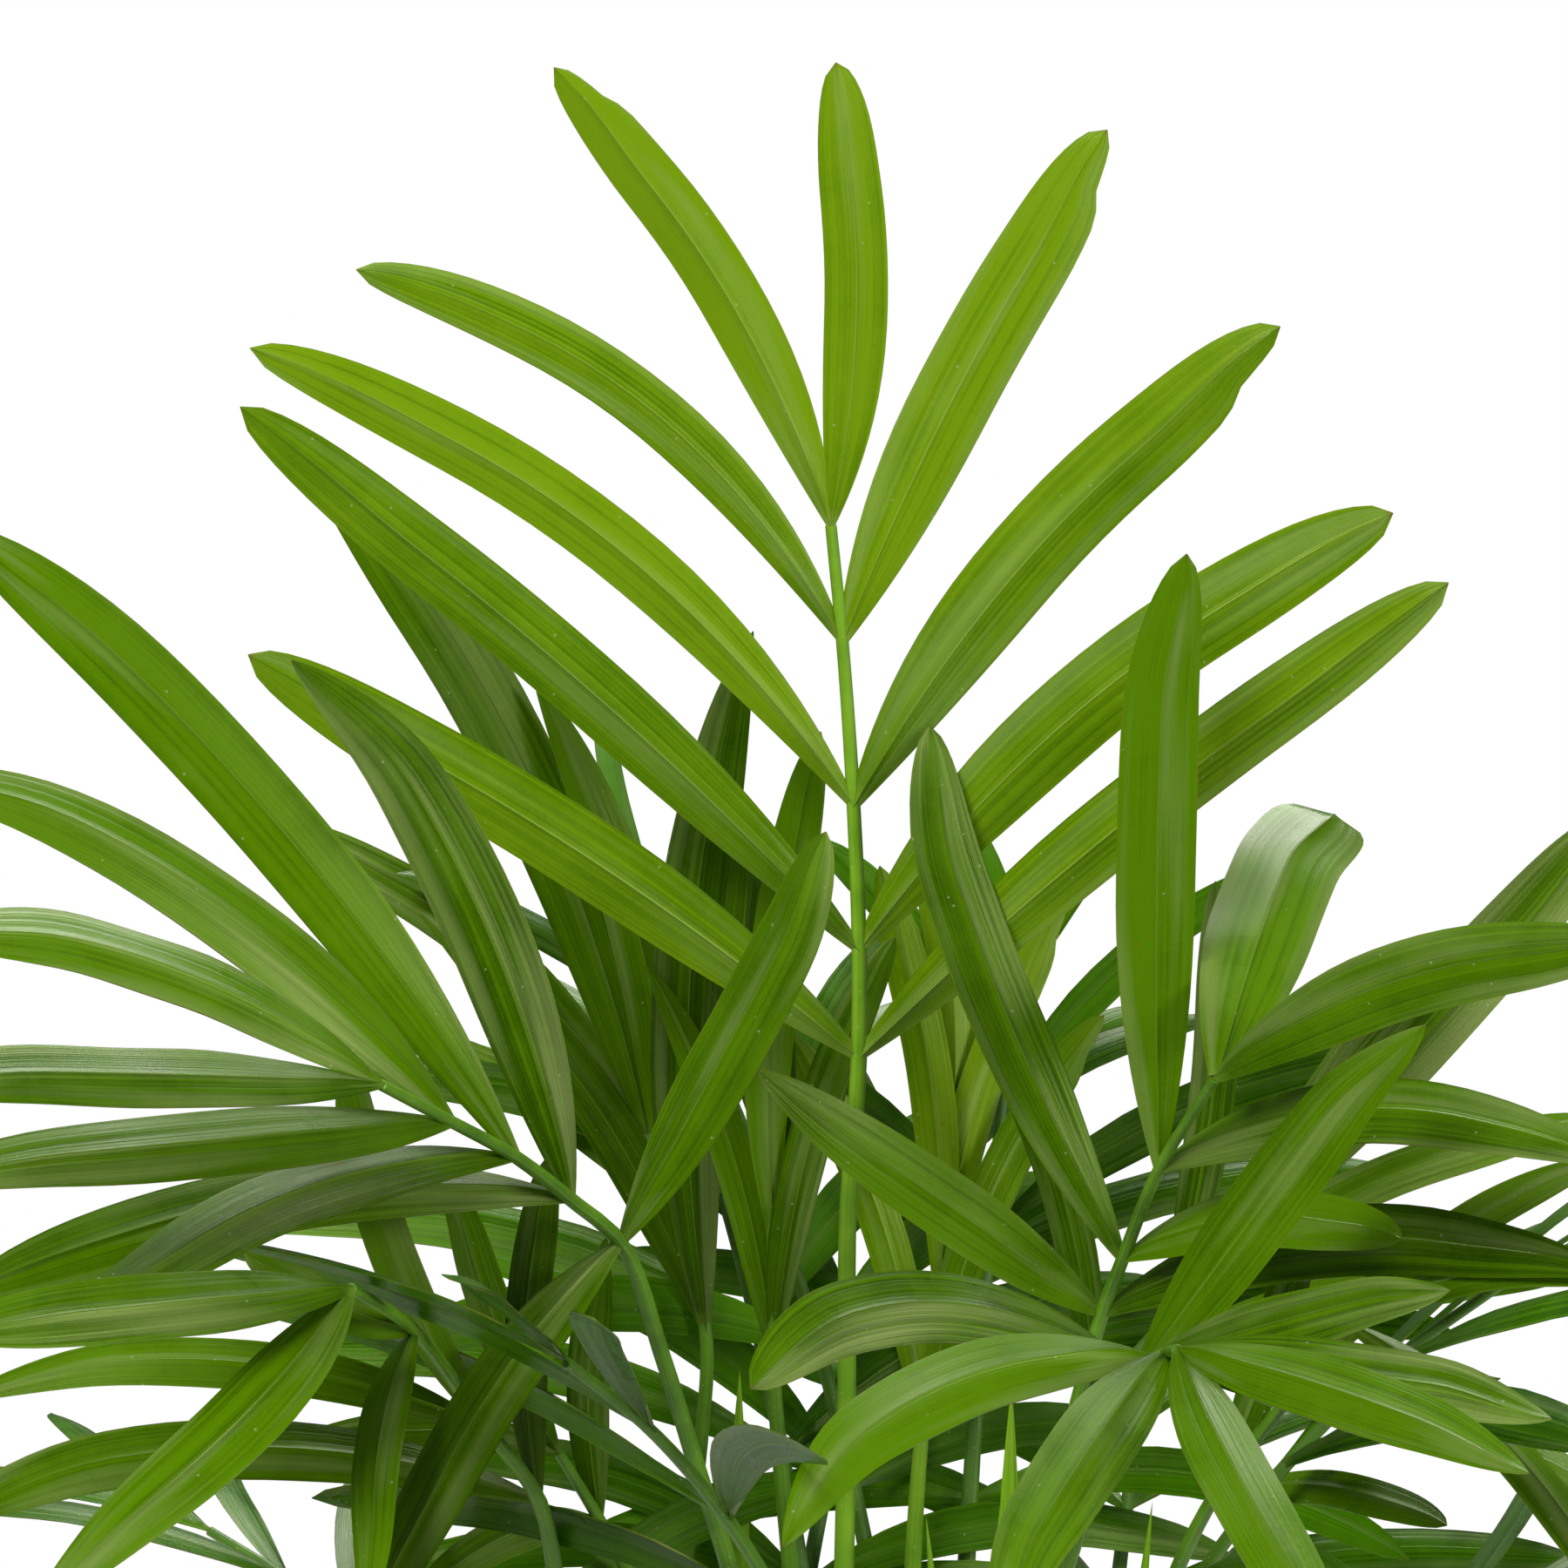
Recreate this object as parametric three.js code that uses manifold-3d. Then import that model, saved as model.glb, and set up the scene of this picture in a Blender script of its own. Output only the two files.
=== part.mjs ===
// A parlour palm in a plain terracotta pot: the pot, its soil, eight cane-like stems that stand in
// the soil, the unopened spear leaves at their tops, and the feathered fronds that grow from them.
// Millimetres, +Z up. The origin is the middle of the pot's foot, and -Y is the plant's front.

import * as THREE from "three";
import { mergeVertices } from "three/addons/utils/BufferGeometryUtils.js";
import Module from "manifold-3d";

const wasm = await Module();
wasm.setup();

// ---------------------------------------------------------------- driving dimensions, mm

const GAP = 0.4; // between pieces that rest against each other
const WELD = 0.001; // vertices of a joined solid closer than this become one

const POT = {
  height: 132,
  rimRadius: 76,
  rimBand: 26, // height of the thick band under the lip
  bandStep: 3.5, // how far the band stands out from the wall under it
  footRadius: 53,
  wall: 5,
  floor: 7,
  edge: 1.5, // small chamfer on every edge of the rim and foot
  holeRadius: 5.5,
  holeCircle: 30, // radius of the circle of drain holes
  holes: 3,
  sides: 44,
};

const SOIL = {
  top: 116, // height of its surface at the pot wall
  crown: 3, // how much higher it is in the middle
  rings: [0.85, 0.6, 0.3], // where the crown is measured, as shares of its radius
  socketDepth: 26, // how deep a stem stands in it
};

const CANE = {
  foot: 3.8, // radius in the soil
  head: 2.7, // radius under the spear
  collar: 0.5, // how far each leaf scar stands out
  // where the scars are, as shares of the cane's length, and how far each one's swelling runs
  scars: { count: 3, first: 0.34, last: 0.86, below: 0.03, above: 0.01 },
  mouth: 0.12, // share of the length where it has left the soil's edge behind
  point: 0.4, // height of the low cone that ends it at its foot and top
  sides: 8,
};

const SPEAR = {
  length: 84,
  width: 7,
  thickness: 3.4,
  lift: 1.6, // its foot over the cane's top
  rings: { count: 4, first: 0.08, last: 0.86 },
  sides: 6,
};

const STALK = {
  sheath: 2.5, // half width where it clasps the cane
  clasp: 0.12, // share of its length that the sheath takes
  petiole: 1.55, // half width of the bare stalk
  tip: 0.8, // half width at the last leaflets
  ridge: 0.62, // width of the upper side, as a share of the lower
  depth: 0.9, // half height, as a share of the half width
  petioleRings: 6,
  firstRing: 0.035, // share of the length where the pointed foot reaches full width
};

const LEAFLET = {
  slimness: 0.104, // width as a share of length
  narrowest: 7.5,
  widest: 14.6,
  thickness: 0.9, // at the midrib
  keel: 0.36, // share of the thickness that is under the blade's edges
  root: 0.55, // how far its foot runs back into the stalk
  bow: 0.06, // how far its middle stands off the straight line, towards the frond's tip
  rise: 0.04, // and how far above that line, both as a share of its length
  clear: { at: 0.04, share: 0.3 }, // where the blade is clear of its own stalk
  // where the blade is measured, from its base to its tip, and its width there
  stations: [
    { at: 0, share: 0.14 },
    { at: 0.22, share: 0.84 },
    { at: 0.5, share: 1 },
    { at: 0.78, share: 0.7 },
  ],
};

// Each cane: where it stands on the soil, how its top leans, and its height over the soil.
const CANES = {
  centre: { x: 3, y: 5, lean: [-2, 2], height: 92 },
  right: { x: 19, y: -3, lean: [8, -1], height: 84 },
  front_right: { x: 15, y: -22, lean: [6, -8], height: 72 },
  left: { x: -12, y: -12, lean: [-3, -5], height: 84 },
  low_left: { x: -31, y: -16, lean: [-7, -5], height: 66 },
  back_left: { x: -16, y: 17, lean: [-5, 6], height: 80 },
  back_right: { x: 15, y: 25, lean: [5, 7], height: 78 },
  far_right: { x: 38, y: 2, lean: [7, -2], height: 64 },
};

// The canes that hold an unopened leaf, and which way that leaf leans.
const SPEARS = {
  right: [2, 10],
  front_right: [-8, -6],
  back_left: [2, 12],
  far_right: [9, 6],
};

// The fronds that face the front. Each grows from a cane at a height over the soil, runs along
// its bare petiole, and then carries pairs of leaflets: where a pair sits on the stalk and where
// its two tips reach, and, where the two blades aren't of the usual shape, how each of them bows
// and how wide it is. heading is the way the frond arches, in degrees from +X, and face is the
// way its blades face, where they don't lie flat with the stalk.
const FRONT_FRONDS = [
  {
    name: "frond_centre", cane: "centre", height: 50, heading: 90,
    petiole: [[0, 4, 280], [0, 3, 316]],
    pairs: [
      [[2, 1, 348], [-102, -22, 419], [101, -26, 432], { bow: [0, 0], width: [13.5, 13] }],
      [[2, 0, 367], [-104, -12, 460], [93, -8, 442], { bow: [0, 0.045], width: [12.5, 14.6] }],
      [[1, 0, 392], [-101, -18, 470], [74, -12, 473], { bow: [0.06, 0.04], width: [11.2, 14.6] }],
      [[-1, -1, 421], [-83, -14, 484], [45, -8, 507], { bow: [0.085, 0.015], width: [9.8, 14] }],
      [[-3, -3, 441], [-51, -10, 517], [-4, -10, 519], { bow: [0.05, -0.06], width: [11, 10.8] }],
    ],
  },
  {
    name: "frond_right", cane: "right", height: 46, heading: 300, face: [0.1, -0.9, 0.4],
    petiole: [[32, 2, 249], [39, -3, 283]],
    pairs: [
      [[44, -9, 305], [-16, -36, 352], [122, -62, 320], { bow: [-0.03, 0.07], width: [12, 12.5] }],
      [[47, -16, 316], [11, -4, 406], [89, -62, 328], { bow: [-0.05, 0.06], width: [12.5, 11] }],
      [[52, -32, 335], [58, -44, 440], [120, -85, 345], { bow: [0, 0.08], width: [13.5, 12.5] }],
      [[60, -50, 354], [75, 16, 390], [128, -80, 379], { bow: [-0.03, 0.06], width: [18, 13] }],
    ],
  },
  {
    name: "frond_front_right", cane: "front_right", height: 48, heading: 278, face: [0, -0.75, 0.65],
    petiole: [[27, -37, 226], [38, -55, 280]],
    pairs: [
      [[46, -76, 310], [-18, -112, 319], [88, -88, 372], { bow: [-0.13, 0.02], width: [13, 12.5] }],
      [[48, -88, 316], [-15, -140, 303], [92, -112, 334], { bow: [-0.09, 0.04], width: [13, 11.5] }],
      [[49, -100, 320], [17, -165, 292], [106, -132, 320], { bow: [0, 0.05], width: [13, 12.5] }],
      [[50, -111, 323], [71, -178, 292], [99, -160, 317], { bow: [0.04, 0.02], width: [11.5, 11] }],
    ],
  },
  {
    name: "frond_left", cane: "left", height: 52, heading: 238, face: [-0.1, -0.75, 0.65],
    petiole: [[-19, -16, 254], [-28, -28, 289]],
    pairs: [
      [[-38, -48, 326], [-2, -50, 394], [-84, -95, 275], { bow: [-0.03, 0.06], width: [12.5, 11] }],
      [[-46, -60, 336], [-88, -62, 427], [-141, -110, 332], { bow: [-0.05, 0.05], width: [13.5, 12.5] }],
      [[-54, -75, 346], [-141, -80, 449], [-117, -150, 333], { bow: [-0.02, 0.06], width: [13.5, 12.5] }],
      [[-63, -92, 355], [-148, -118, 417], [-144, -165, 362], { bow: [-0.05, 0.05], width: [13, 12] }],
      [[-73, -112, 365], [-136, -150, 396], [-141, -180, 380], { bow: [-0.04, 0.05], width: [12, 11] }],
    ],
  },
  {
    name: "frond_low_left", cane: "low_left", height: 38, heading: 246, face: [0, -0.75, 0.65],
    petiole: [[-47, -30, 236]],
    pairs: [
      [[-52, -44, 281], [-48, -52, 341], [-151, -70, 286]],
      [[-60, -55, 296], [-75, -72, 367], [-148, -60, 303]],
      [[-70, -82, 319], [-93, -100, 343], [-73, -125, 283]],
      [[-78, -112, 333], [-135, -160, 337], [-124, -160, 297], { bow: [0.05, -0.08], width: [11, 12] }],
    ],
  },
  {
    name: "frond_small_left", cane: "left", height: 66, heading: 200, face: [0, -0.95, 0.3],
    petiole: [[-32, 2, 240]],
    pairs: [
      [[-43, -6, 267], [-41, -4, 317], [-74, -40, 261]],
      [[-50, -12, 281], [-67, -22, 335], [-100, -24, 281]],
    ],
  },
  {
    name: "frond_back_left", cane: "back_left", height: 48, heading: 130, face: [0.2, -0.9, 0.3],
    petiole: [[-30, 28, 232]],
    pairs: [
      [[-25, 30, 292], [-79, 48, 364], [-16, 24, 419]],
      [[-31, 36, 312], [-88, 66, 344], [-58, 46, 407]],
      [[-36, 42, 326], [-110, 60, 378], [-98, 38, 452]],
    ],
  },
  {
    name: "frond_inner_left", cane: "centre", height: 70, heading: 110,
    petiole: [[-9, 13, 245]],
    pairs: [
      [[-13, 18, 290], [-35, 26, 360], [9, 30, 364]],
      [[-13, 20, 312], [-27, 44, 390], [-4, 26, 401]],
      [[-14, 22, 327], [-22, 34, 372], [-12, 20, 388]],
    ],
  },
  {
    name: "frond_inner_right", cane: "back_right", height: 60, heading: 100,
    petiole: [[12, 28, 240]],
    pairs: [
      [[14, 32, 274], [-11, 40, 344], [47, 56, 345]],
      [[17, 38, 295], [6, 44, 374], [42, 62, 365]],
      [[18, 44, 310], [12, 60, 387], [24, 66, 382]],
    ],
  },
  {
    name: "frond_back_right", cane: "back_right", height: 44, heading: 40, face: [-0.2, -0.8, 0.5],
    petiole: [[30, 26, 240]],
    pairs: [
      [[45, 30, 279], [25, 34, 347], [130, 40, 298]],
      [[58, 36, 293], [66, 50, 371], [136, 36, 329]],
      [[68, 42, 304], [107, 58, 358], [141, 52, 382], { bow: [0.04, -0.03], width: [11, 14.6] }],
    ],
  },
  {
    name: "frond_far_right", cane: "far_right", height: 44, heading: 315, face: [0.1, -0.75, 0.65],
    petiole: [[52, -6, 240]],
    pairs: [
      [[63, -16, 274], [80, -2, 335], [99, -48, 277]],
      [[74, -26, 293], [129, -14, 332], [132, -66, 281]],
      [[83, -38, 310], [132, -60, 321], [128, -90, 268]],
    ],
  },
];

// The fronds that fill the rest of the crown, from low outer ones to steep inner ones. Each tier
// spreads over an arc of headings, in degrees from +X, and has its own stalk and blade.
const TIERS = [
  { name: "frond_outer", count: 6, arc: [20, 320], height: 30, stalk: 150, tilt: [18, 78], blade: 96 },
  { name: "frond_middle", count: 4, arc: [19, 161], height: 44, stalk: 180, tilt: [10, 58], blade: 108 },
  { name: "frond_upper", count: 2, arc: [82, 140], height: 56, stalk: 190, tilt: [6, 38], blade: 104 },
];
const FILL = {
  pairs: 5,
  bare: 0.46, // share of the stalk that carries no leaflet
  petiole: [0.16, 0.32], // shares of the stalk where its bare part is measured
  arch: 1.4, // how late the stalk leans over: 1 is a steady arch
  steps: 24,
  spread: [72, 24], // degrees from the stalk, first pair and last pair
  droop: [0.36, 0.16], // fall of the tips as a share of the blade, first pair and last pair
  longest: 0.4, // where on the leafy part the longest leaflets are
  jitter: 0.12,
  seed: 9,
  berth: 5.4, // least distance between the centre lines of two stalks
  turn: 5, // degrees that a stalk's heading turns away, to one side and then to the other
  attempts: 60,
  canes: 3, // how many of the canes that reach furthest its way it may grow from
};

// How the leaves are bent out of each other's way.
const SETTLING = {
  clearance: 0.45, // half the least gap between two leaves
  step: 0.7, // how far one push bends a leaf
  farthest: 3, // most steps that a tip moves in one push
  rounds: 150,
  post: 4, // half width of the square post that stands for a cane
};
const COLOURS = {
  terracotta: { color: 0xb5653f, roughness: 0.85 },
  soil: { color: 0x2e2219, roughness: 1 },
  cane: { color: 0x5f8a2c, roughness: 0.55 },
  spear: { color: 0x8fb93a, roughness: 0.5 },
  frond: { color: 0x4f8a1c, roughness: 0.45 },
};

// ---------------------------------------------------------------- small helpers

const UP = new THREE.Vector3(0, 0, 1);
const point = ([x, y, z]) => new THREE.Vector3(x, y, z);
const mix = (a, b, t) => a + (b - a) * t;
const radians = THREE.MathUtils.degToRad;

// A repeatable random number from 0 to 1.
function randomSource(seed) {
  let state = seed;
  return () => {
    state = (state * 1664525 + 1013904223) % 4294967296;
    return state / 4294967296;
  };
}

function geometryFrom(vertices, triangles) {
  const geometry = new THREE.BufferGeometry();
  const flat = vertices.flatMap((v) => [v.x, v.y, v.z]);
  geometry.setAttribute("position", new THREE.Float32BufferAttribute(flat, 3));
  geometry.setIndex(triangles.flat());
  return geometry;
}

function piece(name, geometry, colour) {
  const shaded = geometry.toNonIndexed();
  shaded.computeVertexNormals();
  const material = new THREE.MeshStandardMaterial({ ...COLOURS[colour], metalness: 0 });
  const mesh = new THREE.Mesh(shaded, material);
  mesh.name = name;
  return mesh;
}

function solid(geometry) {
  const bare = geometry.clone();
  bare.deleteAttribute("normal");
  bare.deleteAttribute("uv");
  const merged = mergeVertices(bare, 1e-4);
  return new wasm.Manifold(new wasm.Mesh({
    numProp: 3,
    vertProperties: merged.attributes.position.array,
    triVerts: new Uint32Array(merged.index.array),
  }));
}

// A joined or cut solid as a geometry, with its closest vertices welded, and without the
// slivers and the folds of two faces back to back that this closes up.
function geometryOf(manifold) {
  const mesh = manifold.getMesh();
  const geometry = new THREE.BufferGeometry();
  geometry.setAttribute("position", new THREE.BufferAttribute(mesh.vertProperties, 3));
  geometry.setIndex(new THREE.BufferAttribute(mesh.triVerts, 1));
  const welded = mergeVertices(geometry, WELD);
  const corners = Array.from(welded.index.array);
  const kept = new Map();
  for (let i = 0; i < corners.length; i += 3) {
    const [a, b, c] = corners.slice(i, i + 3);
    if (a === b || b === c || c === a) continue;
    const face = [a, b, c].sort((one, other) => one - other).join();
    if (!kept.delete(face)) kept.set(face, [a, b, c]);
  }
  welded.setIndex([...kept.values()].flat());
  return welded;
}

// A lathe turned about +Z from [radius, height] points.
function turned(profile, sides) {
  const outline = profile.map(([radius, height]) => new THREE.Vector2(radius, height));
  return new THREE.LatheGeometry(outline, sides).rotateX(Math.PI / 2);
}

// The two triangles of one side between a ring and the next, from corner i to corner j of each.
// Sides split one way and then the other, so a thin blade's upper and lower faces split alike and
// stay clear of each other where the blade twists.
const sideTriangles = (side, lowI, lowJ, highI, highJ) => (side % 2
  ? [[lowI, lowJ, highI], [lowJ, highJ, highI]]
  : [[lowI, lowJ, highJ], [lowI, highJ, highI]]);

// Skins rings of equal count, with a single point at each end.
function skinned(first, rings, last) {
  const vertices = [first, ...rings.flat(), last];
  const count = rings[0].length;
  const end = vertices.length - 1;
  const triangles = [];
  for (let i = 0; i < count; i++) {
    const j = (i + 1) % count;
    triangles.push([0, 1 + j, 1 + i]);
    triangles.push([end, end - count + i, end - count + j]);
    for (let k = 0; k < rings.length - 1; k++) {
      const low = 1 + k * count;
      const high = low + count;
      triangles.push(...sideTriangles(i, low + i, low + j, high + i, high + j));
    }
  }
  return geometryFrom(vertices, triangles);
}

// ---------------------------------------------------------------- pot and soil

// The wall's outer and inner radius at a height, without the rim band.
const potOuter = (z) => mix(POT.footRadius, POT.rimRadius - POT.bandStep, z / POT.height);
const potInner = (z) => potOuter(z) - POT.wall;

function pot() {
  const { height, rimRadius, rimBand, footRadius, floor, edge, sides } = POT;
  const bandFoot = height - rimBand;
  const profile = [
    [0, 0],
    [footRadius - edge, 0],
    [potOuter(edge), edge],
    [potOuter(bandFoot - edge), bandFoot - edge],
    [rimRadius - 1.5 * edge, bandFoot],
    [rimRadius - edge / 2, bandFoot + edge],
    [rimRadius, height - edge],
    [rimRadius - edge, height],
    [potInner(height) + edge, height],
    [potInner(height - edge), height - edge],
    [potInner(floor + 2 * edge), floor + 2 * edge],
    [potInner(floor) - 2 * edge, floor],
    [0, floor],
  ];
  let body = solid(turned(profile, sides));
  for (let i = 0; i < POT.holes; i++) {
    const angle = (2 * Math.PI * i) / POT.holes + Math.PI / 6;
    const hole = new THREE.CylinderGeometry(POT.holeRadius, POT.holeRadius, 3 * floor, 16)
      .rotateX(Math.PI / 2)
      .translate(POT.holeCircle * Math.cos(angle), POT.holeCircle * Math.sin(angle), floor / 2);
    body = body.subtract(solid(hole));
  }
  return piece("pot", geometryOf(body), "terracotta");
}

const soilHeight = (radius) =>
  SOIL.top + SOIL.crown * (1 - (radius / potInner(SOIL.top)) ** 2);

function soil(canes) {
  const foot = POT.floor + GAP;
  const profile = [
    [0, foot],
    [potInner(foot) - 3 * POT.edge, foot],
    [potInner(foot + 3 * POT.edge) - GAP, foot + 3 * POT.edge],
    [potInner(SOIL.top) - GAP, SOIL.top],
  ];
  for (const share of SOIL.rings) {
    const radius = share * potInner(SOIL.top);
    profile.push([radius, soilHeight(radius)]);
  }
  profile.push([0, soilHeight(0)]);
  let body = solid(turned(profile, POT.sides));
  for (const cane of Object.values(canes)) body = body.subtract(solid(caneShape(cane, GAP)));
  return piece("soil", geometryOf(body), "soil");
}

// ---------------------------------------------------------------- canes and spears

// A cane's centre line, from its foot in the soil to its top.
function caneLine({ x, y, lean, height }) {
  const ground = soilHeight(Math.hypot(x, y));
  const foot = new THREE.Vector3(x, y, ground - SOIL.socketDepth);
  const mouth = new THREE.Vector3(x, y, ground);
  const top = new THREE.Vector3(x + lean[0], y + lean[1], ground + height);
  return { curve: new THREE.CatmullRomCurve3([foot, mouth, top]), top, height };
}

const caneRadius = (share) => mix(CANE.foot, CANE.head, share);

// The cane as rings about its line, swollen a little at each leaf scar.
function caneShape(cane, swell = 0) {
  const { count, first, last, below, above } = CANE.scars;
  const stations = [{ at: 0, raised: 0 }, { at: CANE.mouth, raised: 0 }];
  for (let i = 0; i < count; i++) {
    const at = mix(first, last, i / (count - 1));
    stations.push({ at: at - below, raised: 0 });
    stations.push({ at, raised: CANE.collar });
    stations.push({ at: at + above, raised: 0 });
  }
  stations.push({ at: 1, raised: 0 });
  const rings = stations.map(({ at, raised }) => {
    const radius = caneRadius(at) + raised + swell;
    const centre = cane.curve.getPointAt(at);
    return Array.from({ length: CANE.sides }, (_, i) => {
      const angle = (2 * Math.PI * i) / CANE.sides;
      const spoke = new THREE.Vector3(Math.cos(angle), Math.sin(angle), 0);
      return centre.clone().addScaledVector(spoke, radius);
    });
  });
  const foot = cane.curve.getPointAt(0).addScaledVector(UP, -CANE.point - swell);
  const tip = cane.curve.getPointAt(1).addScaledVector(UP, CANE.point + swell);
  return skinned(foot, rings, tip);
}

// A furled leaf: a slim pointed blade, thickest a third of the way up.
function spear(name, cane, [dx, dy]) {
  const { count, first, last } = SPEAR.rings;
  const foot = cane.top.clone().addScaledVector(UP, SPEAR.lift);
  const tip = foot.clone().add(new THREE.Vector3(dx, dy, SPEAR.length));
  const line = new THREE.LineCurve3(foot, tip);
  const along = tip.clone().sub(foot).normalize();
  const side = new THREE.Vector3(dy, -dx, 0).normalize();
  const front = side.clone().cross(along).normalize();
  const rings = Array.from({ length: count }, (_, i) => {
    const share = mix(first, last, i / (count - 1));
    const swell = Math.sin(Math.PI * share ** 0.6);
    const centre = line.getPoint(share);
    return Array.from({ length: SPEAR.sides }, (_, k) => {
      const angle = (2 * Math.PI * k) / SPEAR.sides;
      return centre.clone()
        .addScaledVector(side, (Math.cos(angle) * SPEAR.width * swell) / 2)
        .addScaledVector(front, (Math.sin(angle) * SPEAR.thickness * swell) / -2);
    });
  });
  return piece(name, skinned(foot, rings, tip), "spear");
}

// ---------------------------------------------------------------- fronds

// The stalk's cross-section at a point: a four-sided ridge, narrower on its upper side.
// The corners run upper left, upper right, lower right, lower left.
function stalkRing(centre, along, sideways, half) {
  const upper = sideways.clone().cross(along).normalize();
  const right = along.clone().cross(upper).normalize();
  const corner = (across, over) => centre.clone()
    .addScaledVector(right, across * half)
    .addScaledVector(upper, over * half * STALK.depth);
  return [
    corner(-STALK.ridge, 1),
    corner(STALK.ridge, 1),
    corner(1, -1),
    corner(-1, -1),
  ];
}

// The stalk's half width at a share of its length: a clasping base, then a long taper.
const stalkHalf = (share) => (share < STALK.clasp
  ? mix(STALK.sheath, STALK.petiole, share / STALK.clasp)
  : mix(STALK.petiole, STALK.tip, (share - STALK.clasp) / (1 - STALK.clasp)));

// Where a frond leaves its cane: just off the cane's side, facing its first petiole point.
function attachment(cane, height, towards) {
  const share = (SOIL.socketDepth + height) / (SOIL.socketDepth + cane.height);
  const centre = cane.curve.getPointAt(share);
  const outward = towards.clone().sub(centre).setZ(0).normalize();
  const reach = caneRadius(share) + CANE.collar + STALK.sheath + GAP;
  return centre.addScaledVector(outward, reach);
}

function nearestShare(curve, target) {
  const steps = 400;
  let best = { share: 0, gap: Infinity };
  curve.getSpacedPoints(steps).forEach((here, i) => {
    const gap = here.distanceTo(target);
    if (gap < best.gap) best = { share: i / steps, gap };
  });
  return best.share;
}

// A frond's plan: its stalk's curve and rings, and the leaflets that sit on it in pairs.
function planFrond({ name, cane, height, heading, face, petiole, pairs }) {
  const bare = petiole.map(point);
  const seats = pairs.map(([seat]) => point(seat));
  const start = attachment(cane, height, bare[0]);
  const curve = new THREE.CatmullRomCurve3([start, ...bare, ...seats]);
  const sideways = new THREE.Vector3(Math.sin(radians(heading)), -Math.cos(radians(heading)), 0);
  const seatShares = seats.map((seat) => nearestShare(curve, seat));
  const bareShares = Array.from({ length: STALK.petioleRings }, (_, i) =>
    mix(STALK.firstRing, seatShares[0], i / STALK.petioleRings));
  const rings = [...bareShares, ...seatShares].map((share) =>
    stalkRing(curve.getPointAt(share), curve.getTangentAt(share), sideways, stalkHalf(share)));
  const end = curve.getPointAt(1).addScaledVector(curve.getTangentAt(1), STALK.tip);
  const leaflets = pairs.flatMap(([, one, other, shape = {}], index) => {
    const base = curve.getPointAt(seatShares[index]);
    const along = curve.getTangentAt(seatShares[index]);
    const upper = face ? point(face).normalize() : sideways.clone().cross(along).normalize();
    return [one, other].map((tip, hand) => planLeaflet({
      base, tip: point(tip), along, upper, bow: shape.bow?.[hand], width: shape.width?.[hand],
    }));
  });
  return { name, start, rings, end, leaflets, curve };
}

// A leaflet's plan: one curve from its base to its tip, which bows towards the frond's tip and
// a little upwards, and the way its blade faces.
function planLeaflet({ base, tip, along, upper, bow = LEAFLET.bow, width }) {
  const chord = tip.clone().sub(base);
  const length = chord.length();
  const across = upper.clone().cross(chord).normalize();
  if (across.dot(along) < 0) across.negate();
  const control = base.clone().addScaledVector(chord, 0.5)
    .addScaledVector(across, 2 * bow * length)
    .addScaledVector(UP, 2 * LEAFLET.rise * length);
  const usual = THREE.MathUtils.clamp(
    length * LEAFLET.slimness, LEAFLET.narrowest, LEAFLET.widest);
  return { base, control, tip, upper, width: width ?? usual };
}

function leafletPoint({ base, control, tip }, t) {
  return base.clone().multiplyScalar((1 - t) ** 2)
    .addScaledVector(control, 2 * t * (1 - t))
    .addScaledVector(tip, t * t);
}

function leafletTangent({ base, control, tip }, t) {
  return control.clone().sub(base).multiplyScalar(1 - t)
    .addScaledVector(tip.clone().sub(control), t)
    .normalize();
}

// A flat kite across the blade: one edge, upper midrib, other edge, lower midrib. The midrib
// stands higher over the edges than it hangs under them.
function bladeRing(leaflet, at, share, swell = 0) {
  const centre = leafletPoint(leaflet, at);
  const along = leafletTangent(leaflet, at);
  const across = leaflet.upper.clone().cross(along).normalize();
  const over = along.clone().cross(across).normalize();
  const halfWidth = (leaflet.width * share) / 2 + swell;
  const depth = LEAFLET.thickness * mix(0.6, 1, share);
  return [
    centre.clone().addScaledVector(across, halfWidth),
    centre.clone().addScaledVector(over, (1 - LEAFLET.keel) * depth + swell),
    centre.clone().addScaledVector(across, -halfWidth),
    centre.clone().addScaledVector(over, -LEAFLET.keel * depth - swell),
  ];
}

function leafletShape(leaflet) {
  const rings = LEAFLET.stations.map(({ at, share }) => bladeRing(leaflet, at, share));
  const root = leaflet.base.clone().addScaledVector(leafletTangent(leaflet, 0), -LEAFLET.root);
  return skinned(root, rings, leaflet.tip);
}

// The frond grown as one: its stalk with every leaflet joined to it.
function frond(plan) {
  let body = solid(skinned(plan.start, plan.rings, plan.end));
  for (const leaflet of plan.leaflets) body = body.add(solid(leafletShape(leaflet)));
  return piece(plan.name, geometryOf(body), "frond");
}

// ---------------------------------------------------------------- the fronds that fill the crown

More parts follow.
